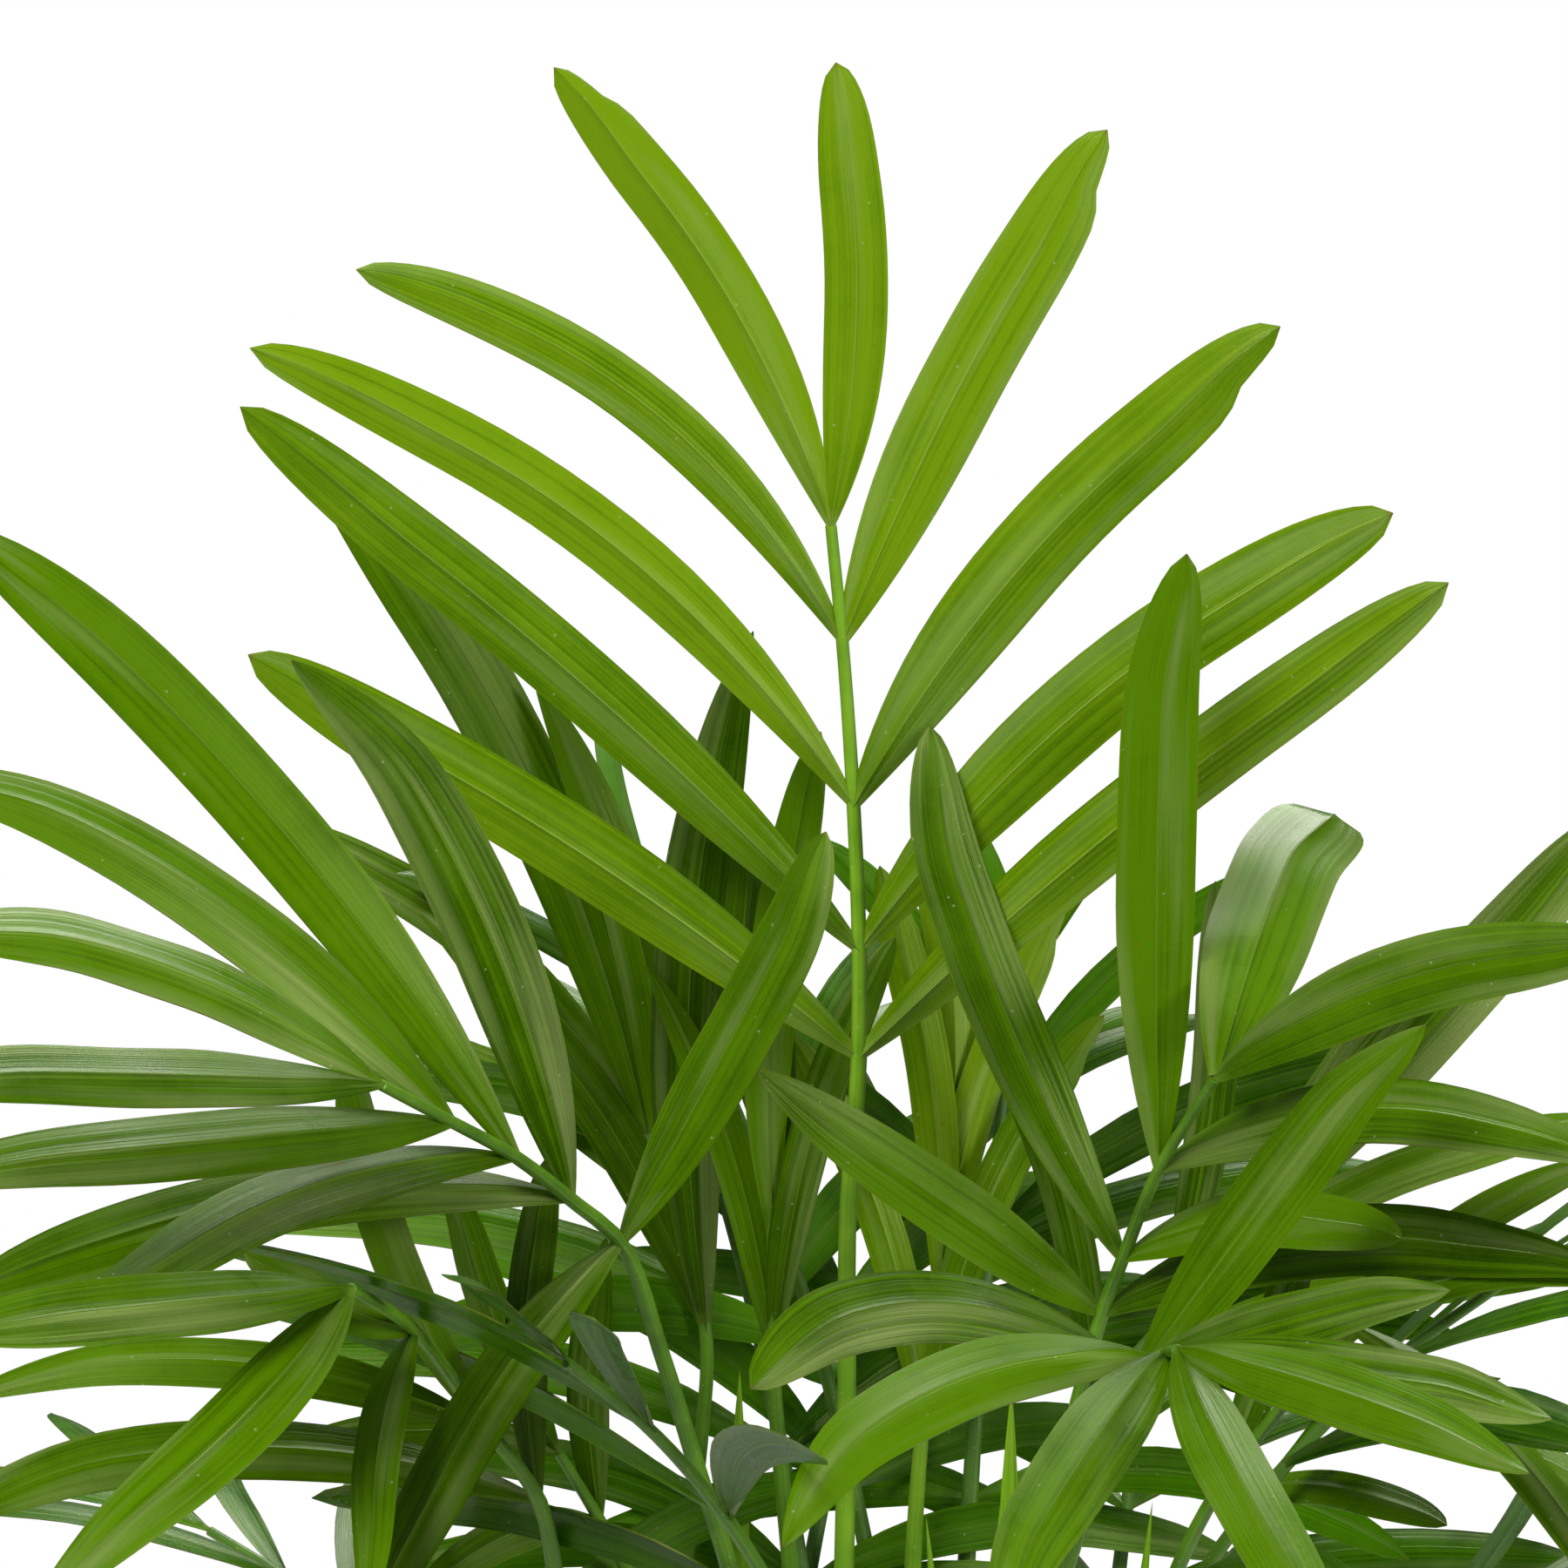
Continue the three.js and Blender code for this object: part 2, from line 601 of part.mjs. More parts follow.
function fillFrond(tier, number, heading, cane, random) {
  const wobble = (amount) => 1 + amount * (2 * random() - 1);
  const outward = new THREE.Vector3(Math.cos(radians(heading)), Math.sin(radians(heading)), 0);
  const side = new THREE.Vector3(outward.y, -outward.x, 0);
  const stalk = tier.stalk * wobble(FILL.jitter);
  const ground = cane.curve.getPointAt(
    (SOIL.socketDepth + tier.height) / (SOIL.socketDepth + cane.height));
  const { steps } = FILL;
  const line = [ground.addScaledVector(outward, caneRadius(0.5) + STALK.sheath + 1)];
  for (let i = 0; i < steps; i++) {
    const tilt = radians(mix(...tier.tilt, (i / steps) ** FILL.arch));
    const step = outward.clone().multiplyScalar(Math.sin(tilt)).addScaledVector(UP, Math.cos(tilt));
    line.push(line[i].clone().addScaledVector(step, stalk / steps));
  }
  const arch = new THREE.CatmullRomCurve3(line);
  const pairs = Array.from({ length: FILL.pairs }, (_, i) => {
    const order = i / (FILL.pairs - 1);
    const share = mix(FILL.bare, 1, order);
    const seat = arch.getPointAt(share);
    const along = arch.getTangentAt(share);
    const length = tier.blade * (1 - (order - FILL.longest) ** 2) * wobble(FILL.jitter);
    const tipOf = (hand) => {
      const spread = radians(mix(...FILL.spread, order)) * wobble(FILL.jitter);
      return seat.clone()
        .addScaledVector(along, length * Math.cos(spread))
        .addScaledVector(side, hand * length * Math.sin(spread))
        .addScaledVector(UP, -length * mix(...FILL.droop, order) * wobble(2 * FILL.jitter))
        .toArray();
    };
    return [seat.toArray(), tipOf(-1), tipOf(1)];
  });
  const petiole = FILL.petiole.map((share) => arch.getPointAt(share).toArray());
  return planFrond({
    name: `${tier.name}_${number}`, cane, height: tier.height, heading, petiole, pairs,
  });
}

// Points along a stalk or cane, used to keep new stalks clear of those already there.
const tracePoints = (curve) => curve.getSpacedPoints(60);

function isClear(points, traces, gap) {
  return traces.every((trace) =>
    trace.every((there) => points.every((here) => here.distanceTo(there) > gap)));
}

function fillFronds(canes, plans) {
  const random = randomSource(FILL.seed);
  const traces = plans.map(({ curve }) => tracePoints(curve));
  const filled = [];
  for (const tier of TIERS) {
    for (let number = 1; number <= tier.count; number++) {
      const planned = mix(...tier.arc, (number - 1) / (tier.count - 1));
      let plan;
      for (let attempt = 0; attempt < FILL.attempts; attempt++) {
        // The turns go to one side and then to the other, ever further.
        const side = attempt % 2 ? 1 : -1;
        const heading = planned + side * FILL.turn * Math.ceil(attempt / 2);
        const outward = new THREE.Vector3(
          Math.cos(radians(heading)), Math.sin(radians(heading)), 0);
        const byReach = Object.values(canes)
          .sort((a, b) => b.top.dot(outward) - a.top.dot(outward));
        const cane = byReach[(number + attempt) % FILL.canes];
        plan = fillFrond(tier, number, heading, cane, random);
        const others = Object.values(canes)
          .filter((other) => other !== cane)
          .map(({ curve }) => tracePoints(curve));
        if (isClear(tracePoints(plan.curve), [...traces, ...others], FILL.berth)) break;
      }
      traces.push(tracePoints(plan.curve));
      filled.push(plan);
    }
  }
  return filled;
}

// ---------------------------------------------------------------- keeping the leaves apart

// The edges and faces of a leaflet or a stalk, a little swollen, and the box around them. A
// leaflet counts from just past the stalk that it grows from.
function outlineOf(body) {
  const rings = body.leaflet
    ? [LEAFLET.clear, ...LEAFLET.stations.slice(1)].map(({ at, share }) =>
      bladeRing(body.leaflet, at, share, SETTLING.clearance))
    : body.rings;
  const tip = body.leaflet ? body.leaflet.tip : body.end;
  const edges = [];
  const faces = [];
  rings.forEach((ring, k) => {
    const next = rings[k + 1];
    for (let i = 0; i < ring.length; i++) {
      const j = (i + 1) % ring.length;
      edges.push([ring[i], ring[j]]);
      edges.push([ring[i], next ? next[i] : tip]);
      if (next) faces.push(...sideTriangles(i, ring[i], ring[j], next[i], next[j]));
      else faces.push([ring[i], ring[j], tip]);
    }
  });
  body.edges = edges;
  body.faces = faces;
  body.box = new THREE.Box3().setFromPoints([...rings.flat(), tip]);
}

const scratchRay = new THREE.Ray();
const scratchHit = new THREE.Vector3();

function edgesPierce(edges, faces, box) {
  return edges.some(([from, to]) => {
    const edgeBox = new THREE.Box3().setFromPoints([from, to]);
    if (!edgeBox.intersectsBox(box)) return false;
    const length = from.distanceTo(to);
    scratchRay.set(from, to.clone().sub(from).divideScalar(length));
    return faces.some(([a, b, c]) => {
      const hit = scratchRay.intersectTriangle(a, b, c, false, scratchHit);
      return hit !== null && hit.distanceTo(from) <= length;
    });
  });
}

const cross = (one, other) =>
  edgesPierce(one.edges, other.faces, other.box) ||
  edgesPierce(other.edges, one.faces, one.box);

// A body's centre line as points with their share of its length.
function centreLine(body) {
  const shares = Array.from({ length: 13 }, (_, i) => i / 12);
  return shares.map((share) => ({
    share,
    at: body.leaflet ? leafletPoint(body.leaflet, share) : body.curve.getPointAt(share),
    along: body.leaflet ? leafletTangent(body.leaflet, share) : body.curve.getTangentAt(share),
  }));
}

// Bends a leaflet by a step at a share of its length, with its base held.
function bend({ control, tip }, share, direction, step) {
  const reach = Math.min(SETTLING.farthest, 1 / (1.05 - (1 - share) ** 2)) * step;
  control.addScaledVector(direction, reach);
  tip.addScaledVector(direction, reach);
}

function pushApart(one, other, step) {
  let closest = { gap: Infinity };
  for (const a of centreLine(one)) {
    for (const b of centreLine(other)) {
      const gap = a.at.distanceTo(b.at);
      if (gap < closest.gap) closest = { gap, a, b };
    }
  }
  const { a, b } = closest;
  const direction = a.along.clone().cross(b.along);
  if (direction.length() < 0.15) direction.copy(one.leaflet ? one.leaflet.upper : UP);
  direction.normalize();
  if (a.at.clone().sub(b.at).dot(direction) < 0) direction.negate();
  if (one.leaflet) bend(one.leaflet, a.share, direction, step);
  if (other.leaflet) bend(other.leaflet, b.share, direction, -step);
}

// Crossing leaves bend out of each other's way, a little at a time, until none cross.
function settle(plans, canes) {
  const bodies = plans.flatMap((plan) => [
    { owner: plan, rings: plan.rings, end: plan.end, curve: plan.curve },
    ...plan.leaflets.map((leaflet) => ({ owner: plan, leaflet })),
  ]);
  for (const cane of Object.values(canes)) {
    const rings = [0.3, 0.6, 1].map((share) => {
      const centre = cane.curve.getPointAt(share);
      const corners = [[-1, -1], [1, -1], [1, 1], [-1, 1]];
      return corners.map(([i, j]) =>
        centre.clone().add(new THREE.Vector3(i, j, 0).multiplyScalar(SETTLING.post)));
    });
    bodies.push({ owner: cane, rings, end: cane.top, curve: cane.curve });
  }
  bodies.forEach(outlineOf);
  let moved = new Set(bodies);
  for (let round = 0; round < SETTLING.rounds && moved.size > 0; round++) {
    const next = new Set();
    for (let i = 0; i < bodies.length; i++) {
      for (let j = i + 1; j < bodies.length; j++) {
        const [one, other] = [bodies[i], bodies[j]];
        if (!one.leaflet && !other.leaflet) continue;
        if (!moved.has(one) && !moved.has(other)) continue;
        if (one.owner === other.owner && !(one.leaflet && other.leaflet)) continue;
        if (one.leaflet && one.leaflet.base === other.leaflet?.base) continue;
        if (!one.box.intersectsBox(other.box) || !cross(one, other)) continue;
        pushApart(one, other, SETTLING.step);
        next.add(one);
        next.add(other);
      }
    }
    next.forEach(outlineOf);
    moved = next;
  }
}

// ---------------------------------------------------------------- the plant

const canes = Object.fromEntries(
  Object.entries(CANES).map(([name, cane]) => [name, caneLine(cane)]));

const plans = FRONT_FRONDS.map((entry) => planFrond({ ...entry, cane: canes[entry.cane] }));
plans.push(...fillFronds(canes, plans));
settle(plans, canes);

const palm = new THREE.Group();
palm.add(pot(), soil(canes));
for (const [name, cane] of Object.entries(canes)) {
  palm.add(piece(`cane_${name}`, caneShape(cane), "cane"));
}
for (const [name, lean] of Object.entries(SPEARS)) {
  palm.add(spear(`spear_${name}`, canes[name], lean));
}
for (const plan of plans) palm.add(frond(plan));

export default palm;
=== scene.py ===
"""A parlour palm in a terracotta pot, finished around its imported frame.

The frame says where the pot, the canes, every stalk and every blade stand.  Each sub-assembly
reads its places from the frame, models its pieces and dresses them.  Metres, +Z up.
"""

import logging
import math
import random
from dataclasses import dataclass
from enum import Enum
from typing import Callable, Sequence

import bmesh
import bpy
import numpy as np
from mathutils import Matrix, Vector, noise


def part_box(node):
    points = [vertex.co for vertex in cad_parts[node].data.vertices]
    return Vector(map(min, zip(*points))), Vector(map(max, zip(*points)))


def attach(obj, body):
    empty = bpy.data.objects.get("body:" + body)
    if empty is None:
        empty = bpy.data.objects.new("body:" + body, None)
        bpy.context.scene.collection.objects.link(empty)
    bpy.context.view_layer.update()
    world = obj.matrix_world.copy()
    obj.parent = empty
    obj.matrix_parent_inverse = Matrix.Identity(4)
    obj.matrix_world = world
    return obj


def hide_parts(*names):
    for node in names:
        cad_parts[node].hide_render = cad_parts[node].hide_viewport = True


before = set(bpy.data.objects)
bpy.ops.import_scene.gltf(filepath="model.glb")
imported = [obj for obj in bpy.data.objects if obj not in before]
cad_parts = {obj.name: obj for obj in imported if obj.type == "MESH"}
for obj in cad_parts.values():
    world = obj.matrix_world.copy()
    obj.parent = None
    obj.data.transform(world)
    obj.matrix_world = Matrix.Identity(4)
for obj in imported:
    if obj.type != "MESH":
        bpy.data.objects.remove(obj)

LOG = logging.getLogger("parlour palm")
MM = 0.001
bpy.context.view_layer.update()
UP = np.array((0.0, 0.0, 1.0))


# ---------------------------------------------------------------- small helpers


def linear(hex_colour: str) -> tuple[float, float, float, float]:
    """Turns an sRGB hex colour, such as "6e9317", into a linear RGBA colour."""
    shares = (int(hex_colour[i : i + 2], 16) / 255 for i in (0, 2, 4))
    red, green, blue = (
        s / 12.92 if s <= 0.04045 else ((s + 0.055) / 1.055) ** 2.4 for s in shares
    )
    return (red, green, blue, 1.0)


def unit(vector: np.ndarray) -> np.ndarray:
    """Vectors of length one, along the last axis."""
    return vector / np.linalg.norm(vector, axis=-1, keepdims=True)


def smooth(low: float, high: float, value: np.ndarray | float) -> np.ndarray | float:
    """Rises smoothly from 0 at low to 1 at high."""
    share = np.clip((value - low) / (high - low), 0.0, 1.0)
    return share * share * (3.0 - 2.0 * share)


def rise(start: float, end: float, share: float) -> float:
    """The value at a share of the way from start to end."""
    return start + (end - start) * share


def deselect() -> None:
    """Leaves edit mode and deselects every object."""
    if bpy.context.object and bpy.context.object.mode != "OBJECT":
        bpy.ops.object.mode_set(mode="OBJECT")
    bpy.ops.object.select_all(action="DESELECT")


def choose(*objects: bpy.types.Object) -> None:
    """Selects these objects only, with the first one active."""
    deselect()
    for obj in objects:
        obj.select_set(True)
    bpy.context.view_layer.objects.active = objects[0]


def apply_modifiers(obj: bpy.types.Object) -> None:
    """Applies every modifier of an object, first to last."""
    choose(obj)
    for modifier in list(obj.modifiers):
        bpy.ops.object.modifier_apply(modifier=modifier.name)


def corners_of(mesh: bpy.types.Mesh) -> np.ndarray:
    """The places of a mesh's corners, one row each."""
    flat = np.empty(len(mesh.vertices) * 3)
    mesh.vertices.foreach_get("co", flat)
    return flat.reshape(-1, 3)


def carry(mesh: bpy.types.Mesh, name: str, values: np.ndarray) -> None:
    """Gives each corner of a mesh a number that its finish reads."""
    layer = mesh.attributes.get(name) or mesh.attributes.new(name, "FLOAT", "POINT")
    layer.data.foreach_set("value", values)


def smoothed(obj: bpy.types.Object, degrees: float) -> None:
    """Shades an object smooth, but for edges sharper than an angle."""
    choose(obj)
    bpy.ops.object.shade_smooth_by_angle(angle=math.radians(degrees))


def dress(obj: bpy.types.Object, *finishes: bpy.types.Material) -> None:
    """Gives an object its materials and no others."""
    obj.data.materials.clear()
    for finish in finishes:
        obj.data.materials.append(finish)


def added(name: str, data: bpy.types.ID) -> bpy.types.Object:
    """Puts a new object with this data in the scene."""
    obj = bpy.data.objects.new(name, data)
    bpy.context.scene.collection.objects.link(obj)
    return obj


def joined(parts: Sequence[bpy.types.Object], name: str) -> bpy.types.Object:
    """Joins objects into one piece.

    Args:
        parts: the objects, of which the first keeps its data.
        name: the piece's name.

    Returns:
        The piece.
    """
    choose(*parts)
    if len(parts) > 1:
        bpy.ops.object.join()
    piece = bpy.context.object
    piece.name = name
    piece.data.name = name
    return piece


def finished(piece: bpy.types.Object, slot: str, *nodes: str) -> bpy.types.Object:
    """Settles a piece on the frame and reports it.

    Args:
        piece: the piece, in place.
        slot: the record's material slot that it belongs to; not used.
        nodes: the frame's nodes that it stands for.

    Returns:
        The piece.
    """
    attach(piece, "root")
    if nodes:
        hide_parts(*nodes)
    piece.data.calc_loop_triangles()
    LOG.info("%s: %d triangles", piece.name, len(piece.data.loop_triangles))
    return piece


# ---------------------------------------------------------------- reading the frame


class Skeleton:
    """A frame node's mesh as corners and their neighbours."""

    WELD = 0.002 * MM

    def __init__(self, node: str) -> None:
        """Reads a node through a merged copy of its mesh."""
        copy = bmesh.new()
        copy.from_mesh(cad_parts[node].data)
        bmesh.ops.remove_doubles(copy, verts=copy.verts, dist=self.WELD)
        copy.verts.ensure_lookup_table()
        self.places = np.array([corner.co[:] for corner in copy.verts])
        self.near = [
            {edge.other_vert(corner).index for edge in corner.link_edges} for corner in copy.verts
        ]
        copy.free()

    def rings_from(self, corner: int, count: int) -> list[np.ndarray]:
        """The rings that follow one another from a pointed end.

        Args:
            corner: the pointed end.
            count: how many corners a ring has.

        Returns:
            Each ring's places, in order round it, until one has another count.
        """
        seen, ring, rings = {corner}, {corner}, []
        while True:
            following = set().union(*(self.near[i] for i in ring)) - seen
            if len(following) != count:
                return rings
            rings.append(self.places[self.in_order(following)])
            seen |= following
            ring = following

    def in_order(self, ring: set[int]) -> list[int]:
        """A ring's corners in order round it."""
        order = [min(ring)]
        while len(order) < len(ring):
            onward = (self.near[order[-1]] & ring) - set(order)
            if not onward:
                onward = ring - set(order)
            here = self.places[order[-1]]
            order.append(min(onward, key=lambda i: np.linalg.norm(self.places[i] - here)))
        return order

    def pointed_ends(self, count: int) -> list[tuple[int, list[np.ndarray]]]:
        """Every pointed end that two or more rings follow, with those rings."""
        ends = [(i, self.rings_from(i, count)) for i, near in enumerate(self.near)
                if len(near) == count]
        return [(i, rings) for i, rings in ends if len(rings) >= 2]


class Course:
    """A smooth line with a facing and a half width all the way along.

    A mould's own shape is laid along it: x across and z over, both in half widths, and y as a
    share of the way.
    """

    STEPS = 160

    def __init__(self, centres: np.ndarray, overs: np.ndarray, halves: np.ndarray) -> None:
        """Keeps dense samples.

        Args:
            centres: places along the line, evenly spaced in the course's own share.
            overs: the way its upper side faces at each place, roughly.
            halves: its half width at each place.
        """
        self.shares = np.linspace(0.0, 1.0, len(centres))
        self.centres = centres
        self.along = unit(np.gradient(centres, axis=0))
        self.across = unit(np.cross(self.along, overs))
        self.over = np.cross(self.across, self.along)
        self.halves = halves

    @classmethod
    def through(
        cls, places: Sequence[np.ndarray], overs: Sequence[np.ndarray], halves: Sequence[float]
    ) -> "Course":
        """A smooth course through places, in even steps of its length.

        Args:
            places: the places that it passes.
            overs: its facing at each of them.
            halves: its half width at each of them.

        Returns:
            The course.
        """
        spots = np.array(places)
        gaps = np.linalg.norm(np.diff(spots, axis=0), axis=1)
        knots = np.concatenate([[0.0], np.cumsum(gaps)])
        slopes = np.gradient(spots, knots, axis=0)
        at = np.linspace(0.0, knots[-1], cls.STEPS)
        left = np.clip(np.searchsorted(knots, at, side="right") - 1, 0, len(knots) - 2)
        span = (knots[left + 1] - knots[left])[:, None]
        t = (at - knots[left])[:, None] / span
        line = (
            (2 * t**3 - 3 * t**2 + 1) * spots[left]
            + (t**3 - 2 * t**2 + t) * span * slopes[left]
            + (3 * t**2 - 2 * t**3) * spots[left + 1]
            + (t**3 - t**2) * span * slopes[left + 1]
        )
        facing = np.stack([np.interp(at, knots, np.array(overs)[:, i]) for i in range(3)], axis=1)
        return cls(line, facing, np.interp(at, knots, halves))

    @property
    def length(self) -> float:
        """The length of the line."""
        return float(np.linalg.norm(np.diff(self.centres, axis=0), axis=1).sum())

    def at(self, values: np.ndarray, share: np.ndarray | float) -> np.ndarray:
        """One of the course's own sample rows at shares of the way."""
        return np.stack(
            [np.interp(share, self.shares, values[:, i]) for i in range(values.shape[1])], axis=-1
        )

    def nearest(self, place: np.ndarray) -> float:
        """The share of the way that is nearest to a place."""
        return float(self.shares[np.argmin(np.linalg.norm(self.centres - place, axis=1))])

    def place(self, shape: np.ndarray) -> np.ndarray:
        """Lays a mould's corners along the course.

        Args:
            shape: the corners in the mould's own measures.

        Returns:
            Their places.
        """
        share = np.clip(shape[:, 1], 0.0, 1.0)
        beyond = (shape[:, 1] - share) * self.length
        half = np.interp(share, self.shares, self.halves)[:, None]
        return (
            self.at(self.centres, share)
            + self.at(self.along, share) * beyond[:, None]
            + self.at(self.across, share) * shape[:, :1] * half
            + self.at(self.over, share) * shape[:, 2:] * half
        )


# ---------------------------------------------------------------- finishes


def add(
    tree: bpy.types.NodeTree, kind: str, feeds: dict | None = None, **settings: object
) -> bpy.types.Node:
    """Adds a node to a tree.

    Args:
        tree: the node tree.
        kind: the node's type, without its leading "ShaderNode".
        feeds: what goes into its inputs, by name or number: a value, or an output to link.
        settings: the node's own properties.

    Returns:
        The node.
    """
    node = tree.nodes.new("ShaderNode" + kind)
    for name, value in settings.items():
        setattr(node, name, value)
    for name, value in (feeds or {}).items():
        if isinstance(value, bpy.types.NodeSocket):
            tree.links.new(value, node.inputs[name])
        else:
            node.inputs[name].default_value = value
    return node


@dataclass
class Recipe:
    """A material under construction, whose steps are named for what they do to the look."""

    name: str

    def __post_init__(self) -> None:
        """Starts an empty material."""
        self.material = bpy.data.materials.new(self.name)
        self.material.use_nodes = True
        self.tree = self.material.node_tree
        self.tree.nodes.clear()
        self.where = add(self.tree, "TexCoord").outputs["Object"]

    def attribute(self, name: str) -> bpy.types.NodeSocket:
        """A number that the mesh carries."""
        return add(self.tree, "Attribute", attribute_name=name).outputs["Fac"]

    def blade(self) -> tuple[bpy.types.NodeSocket, bpy.types.NodeSocket, bpy.types.NodeSocket]:
        """The mould's own coordinates: the pair, the one across it and the one along it."""
        pair = add(self.tree, "UVMap", uv_map="blade").outputs[0]
        split = add(self.tree, "SeparateXYZ", {0: pair})
        return pair, split.outputs["X"], split.outputs["Y"]

    def sums(self, value: object, times: float, plus: object, clamp: bool = False) -> object:
        """A value times a number, plus another value."""
        return add(self.tree, "Math", {0: value, 1: times, 2: plus},
                   operation="MULTIPLY_ADD", use_clamp=clamp).outputs[0]

    def math(self, operation: str, *values: object) -> bpy.types.NodeSocket:
        """Any other sum."""
        return add(self.tree, "Math", dict(enumerate(values)), operation=operation).outputs[0]

    def ramp(self, value: object, start: float, end: float, low: float = 0.0,
             high: float = 1.0) -> bpy.types.NodeSocket:
        """Runs from low to high while a value runs from start to end."""
        feeds = {"Value": value, "From Min": start, "From Max": end, "To Min": low,
                 "To Max": high}
        return add(self.tree, "MapRange", feeds).outputs[0]

    def stretched(self, vector: object, *scale: float) -> bpy.types.NodeSocket:
        """Coordinates drawn out or in."""
        return add(self.tree, "Mapping", {"Vector": vector, "Scale": scale}).outputs[0]

    def noise(self, size: float, detail: float = 3.0, rough: float = 0.6,
              at: object = None) -> bpy.types.NodeSocket:
        """Soft noise, with features of a size in millimetres, or of 1 in its own coordinates."""
        feeds = {"Vector": self.where if at is None else at, "Detail": detail,
                 "Roughness": rough, "Scale": 1.0 / (size * MM) if size else 1.0}
        return add(self.tree, "TexNoise", feeds).outputs["Fac"]

    def dots(self, apart: float, outer: float, inner: float, shown: float = 1.0
             ) -> bpy.types.NodeSocket:
        """Small dots, so many millimetres apart, whose edges run from outer to inner."""
        cells = add(self.tree, "TexVoronoi", {"Vector": self.where, "Scale": 1.0 / (apart * MM)})
        return self.ramp(cells.outputs["Distance"], outer, inner, 0.0, shown)

    def blend(self, share: object, low: object, high: object) -> bpy.types.NodeSocket:
        """Mixes two colours, each a hex colour or an output."""
        feeds = {"Factor": share}
        for side, colour in (("A", low), ("B", high)):
            feeds[side] = linear(colour) if isinstance(colour, str) else colour
        return add(self.tree, "Mix", feeds, data_type="RGBA").outputs["Result"]

    def relief(self, height: object, depth: float, strength: float) -> bpy.types.NodeSocket:
        """Fine relief, so many millimetres deep."""
        feeds = {"Strength": strength, "Distance": depth * MM, "Height": height}
        return add(self.tree, "Bump", feeds).outputs[0]

    def body(self, **feeds: object) -> bpy.types.NodeSocket:
        """The surface itself, its inputs named with underscores for spaces."""
        named = {name.replace("_", " "): value for name, value in feeds.items()}
        return add(self.tree, "BsdfPrincipled", named).outputs[0]

    def done(self, surface: bpy.types.NodeSocket) -> bpy.types.Material:
        """Closes the material."""
        add(self.tree, "OutputMaterial", {"Surface": surface})
        return self.material


@dataclass(frozen=True)
class LeafFinish:
    """Living palm leaf: a waxy skin over parallel veins.

    The skin gives a broad satin highlight, the veins show as fine pale streaks, and light from
    behind comes through yellow-green.
    """

    name: str
    deep: str
    bright: str
    rib: str
    glow: str
    skin: float = 0.29
    through: float = 0.26
    rib_width: float = 0.034
    margin: str = "7d6a2c"
    # the colour of the painted sheen: greyish patches that stand for the satin highlight
    bloom: str = "9aa766"
    # the most of the painted sheen that goes into the colour
    painted_sheen_share: float = 0.22

    def make(self) -> bpy.types.Material:
        """Builds the material."""
        leaf_skin = Recipe(self.name)
        _, across, along = leaf_skin.blade()
        leaf = leaf_skin.attribute("leaf")
        ramp, sums, blend = leaf_skin.ramp, leaf_skin.sums, leaf_skin.blend

        # 0 on the midrib, 1 on the margins
        edge = leaf_skin.math("ABSOLUTE", sums(across, 2.0, -1.0))

        # fine streaks between the parallel veins, and the broad folds that they lie in
        seed = sums(leaf, 37.0, 0.0)
        spot = add(leaf_skin.tree, "CombineXYZ", {"X": across, "Y": along, "Z": seed}).outputs[0]
        streaks = leaf_skin.noise(0, 3.0, 0.62, leaf_skin.stretched(spot, 24.0, 0.6, 1.0))
        folds = leaf_skin.noise(0, 1.0, 0.5, leaf_skin.stretched(spot, 6.0, 0.5, 1.0))
        mottle = leaf_skin.noise(13, 4.0, 0.6)
        grain = leaf_skin.noise(0.6, 2.0, 0.7)

        # how bright the green is: mottled, streaked, its own for each blade, paler to the tip
        tone = sums(mottle, 0.9, -1.78)
        tone = sums(grain, 0.35, tone)
        tone = sums(streaks, 2.0, tone)
        tone = sums(folds, 0.7, tone)
        tone = sums(leaf, 0.75, tone)
        tone = sums(along, 0.2, tone, clamp=True)
        colour = blend(tone, self.deep, self.bright)

        # painted sheen: greyish patches mixed into the colour where the satin highlight shows
        sheen_noise = leaf_skin.noise(0, 2.0, 0.5, leaf_skin.stretched(spot, 2.6, 1.6, 1.0))
        sheen_patches = ramp(sheen_noise, 0.5, 0.7, 0.0, self.painted_sheen_share)
        colour = blend(sheen_patches, colour, self.bloom)

        # the midrib, which fades out towards the tip, and the pale knuckle at the stalk
        rib = ramp(edge, self.rib_width, self.rib_width * 0.3)
        fade = ramp(along, 0.97, 0.5, 0.0, 0.5)
        colour = blend(leaf_skin.math("MULTIPLY", rib, fade), colour, self.rib)
        colour = blend(ramp(along, 0.05, 0.0, 0.0, 0.5), colour, self.rib)

        # a dry line here and there along the margins, and at the very tip
        rim = ramp(edge, 0.965, 1.0, 0.0, 0.5)
        dry = leaf_skin.math("MAXIMUM", rim, ramp(along, 0.98, 0.998, 0.0, 0.9))
        patchy = ramp(mottle, 0.42, 0.62)
        colour = blend(leaf_skin.math("MULTIPLY", dry, patchy), colour, self.margin)

        # fine pale specks of hard water and dust, and a rare rusty fleck
        colour = blend(leaf_skin.dots(4.6, 0.06, 0.03, 0.4), colour, "b9c99a")
        colour = blend(ramp(leaf_skin.noise(6.5, 3.0), 0.72, 0.79, 0.0, 0.6), colour, "7d6414")

        # the veins stand up a little, and the skin between them is finely pebbled
        height = sums(grain, 0.1, sums(streaks, 1.4, 0.0))
        height = sums(folds, 2.4, height)
        normal = leaf_skin.relief(sums(rib, 0.8, height), 0.25, 0.3)
        polish = ramp(mottle, 0.3, 0.7, self.skin - 0.06, self.skin + 0.08)
        front = leaf_skin.body(Base_Color=colour, Roughness=polish, Normal=normal, IOR=1.42,
                               Specular_IOR_Level=0.46, Specular_Tint=linear("d2da8c"))
        lit = blend(0.55, colour, self.glow)
        back = add(leaf_skin.tree, "BsdfTranslucent", {"Color": lit, "Normal": normal})
        both = add(leaf_skin.tree, "MixShader", {0: self.through, 1: front, 2: back.outputs[0]})
        return leaf_skin.done(both.outputs[0])


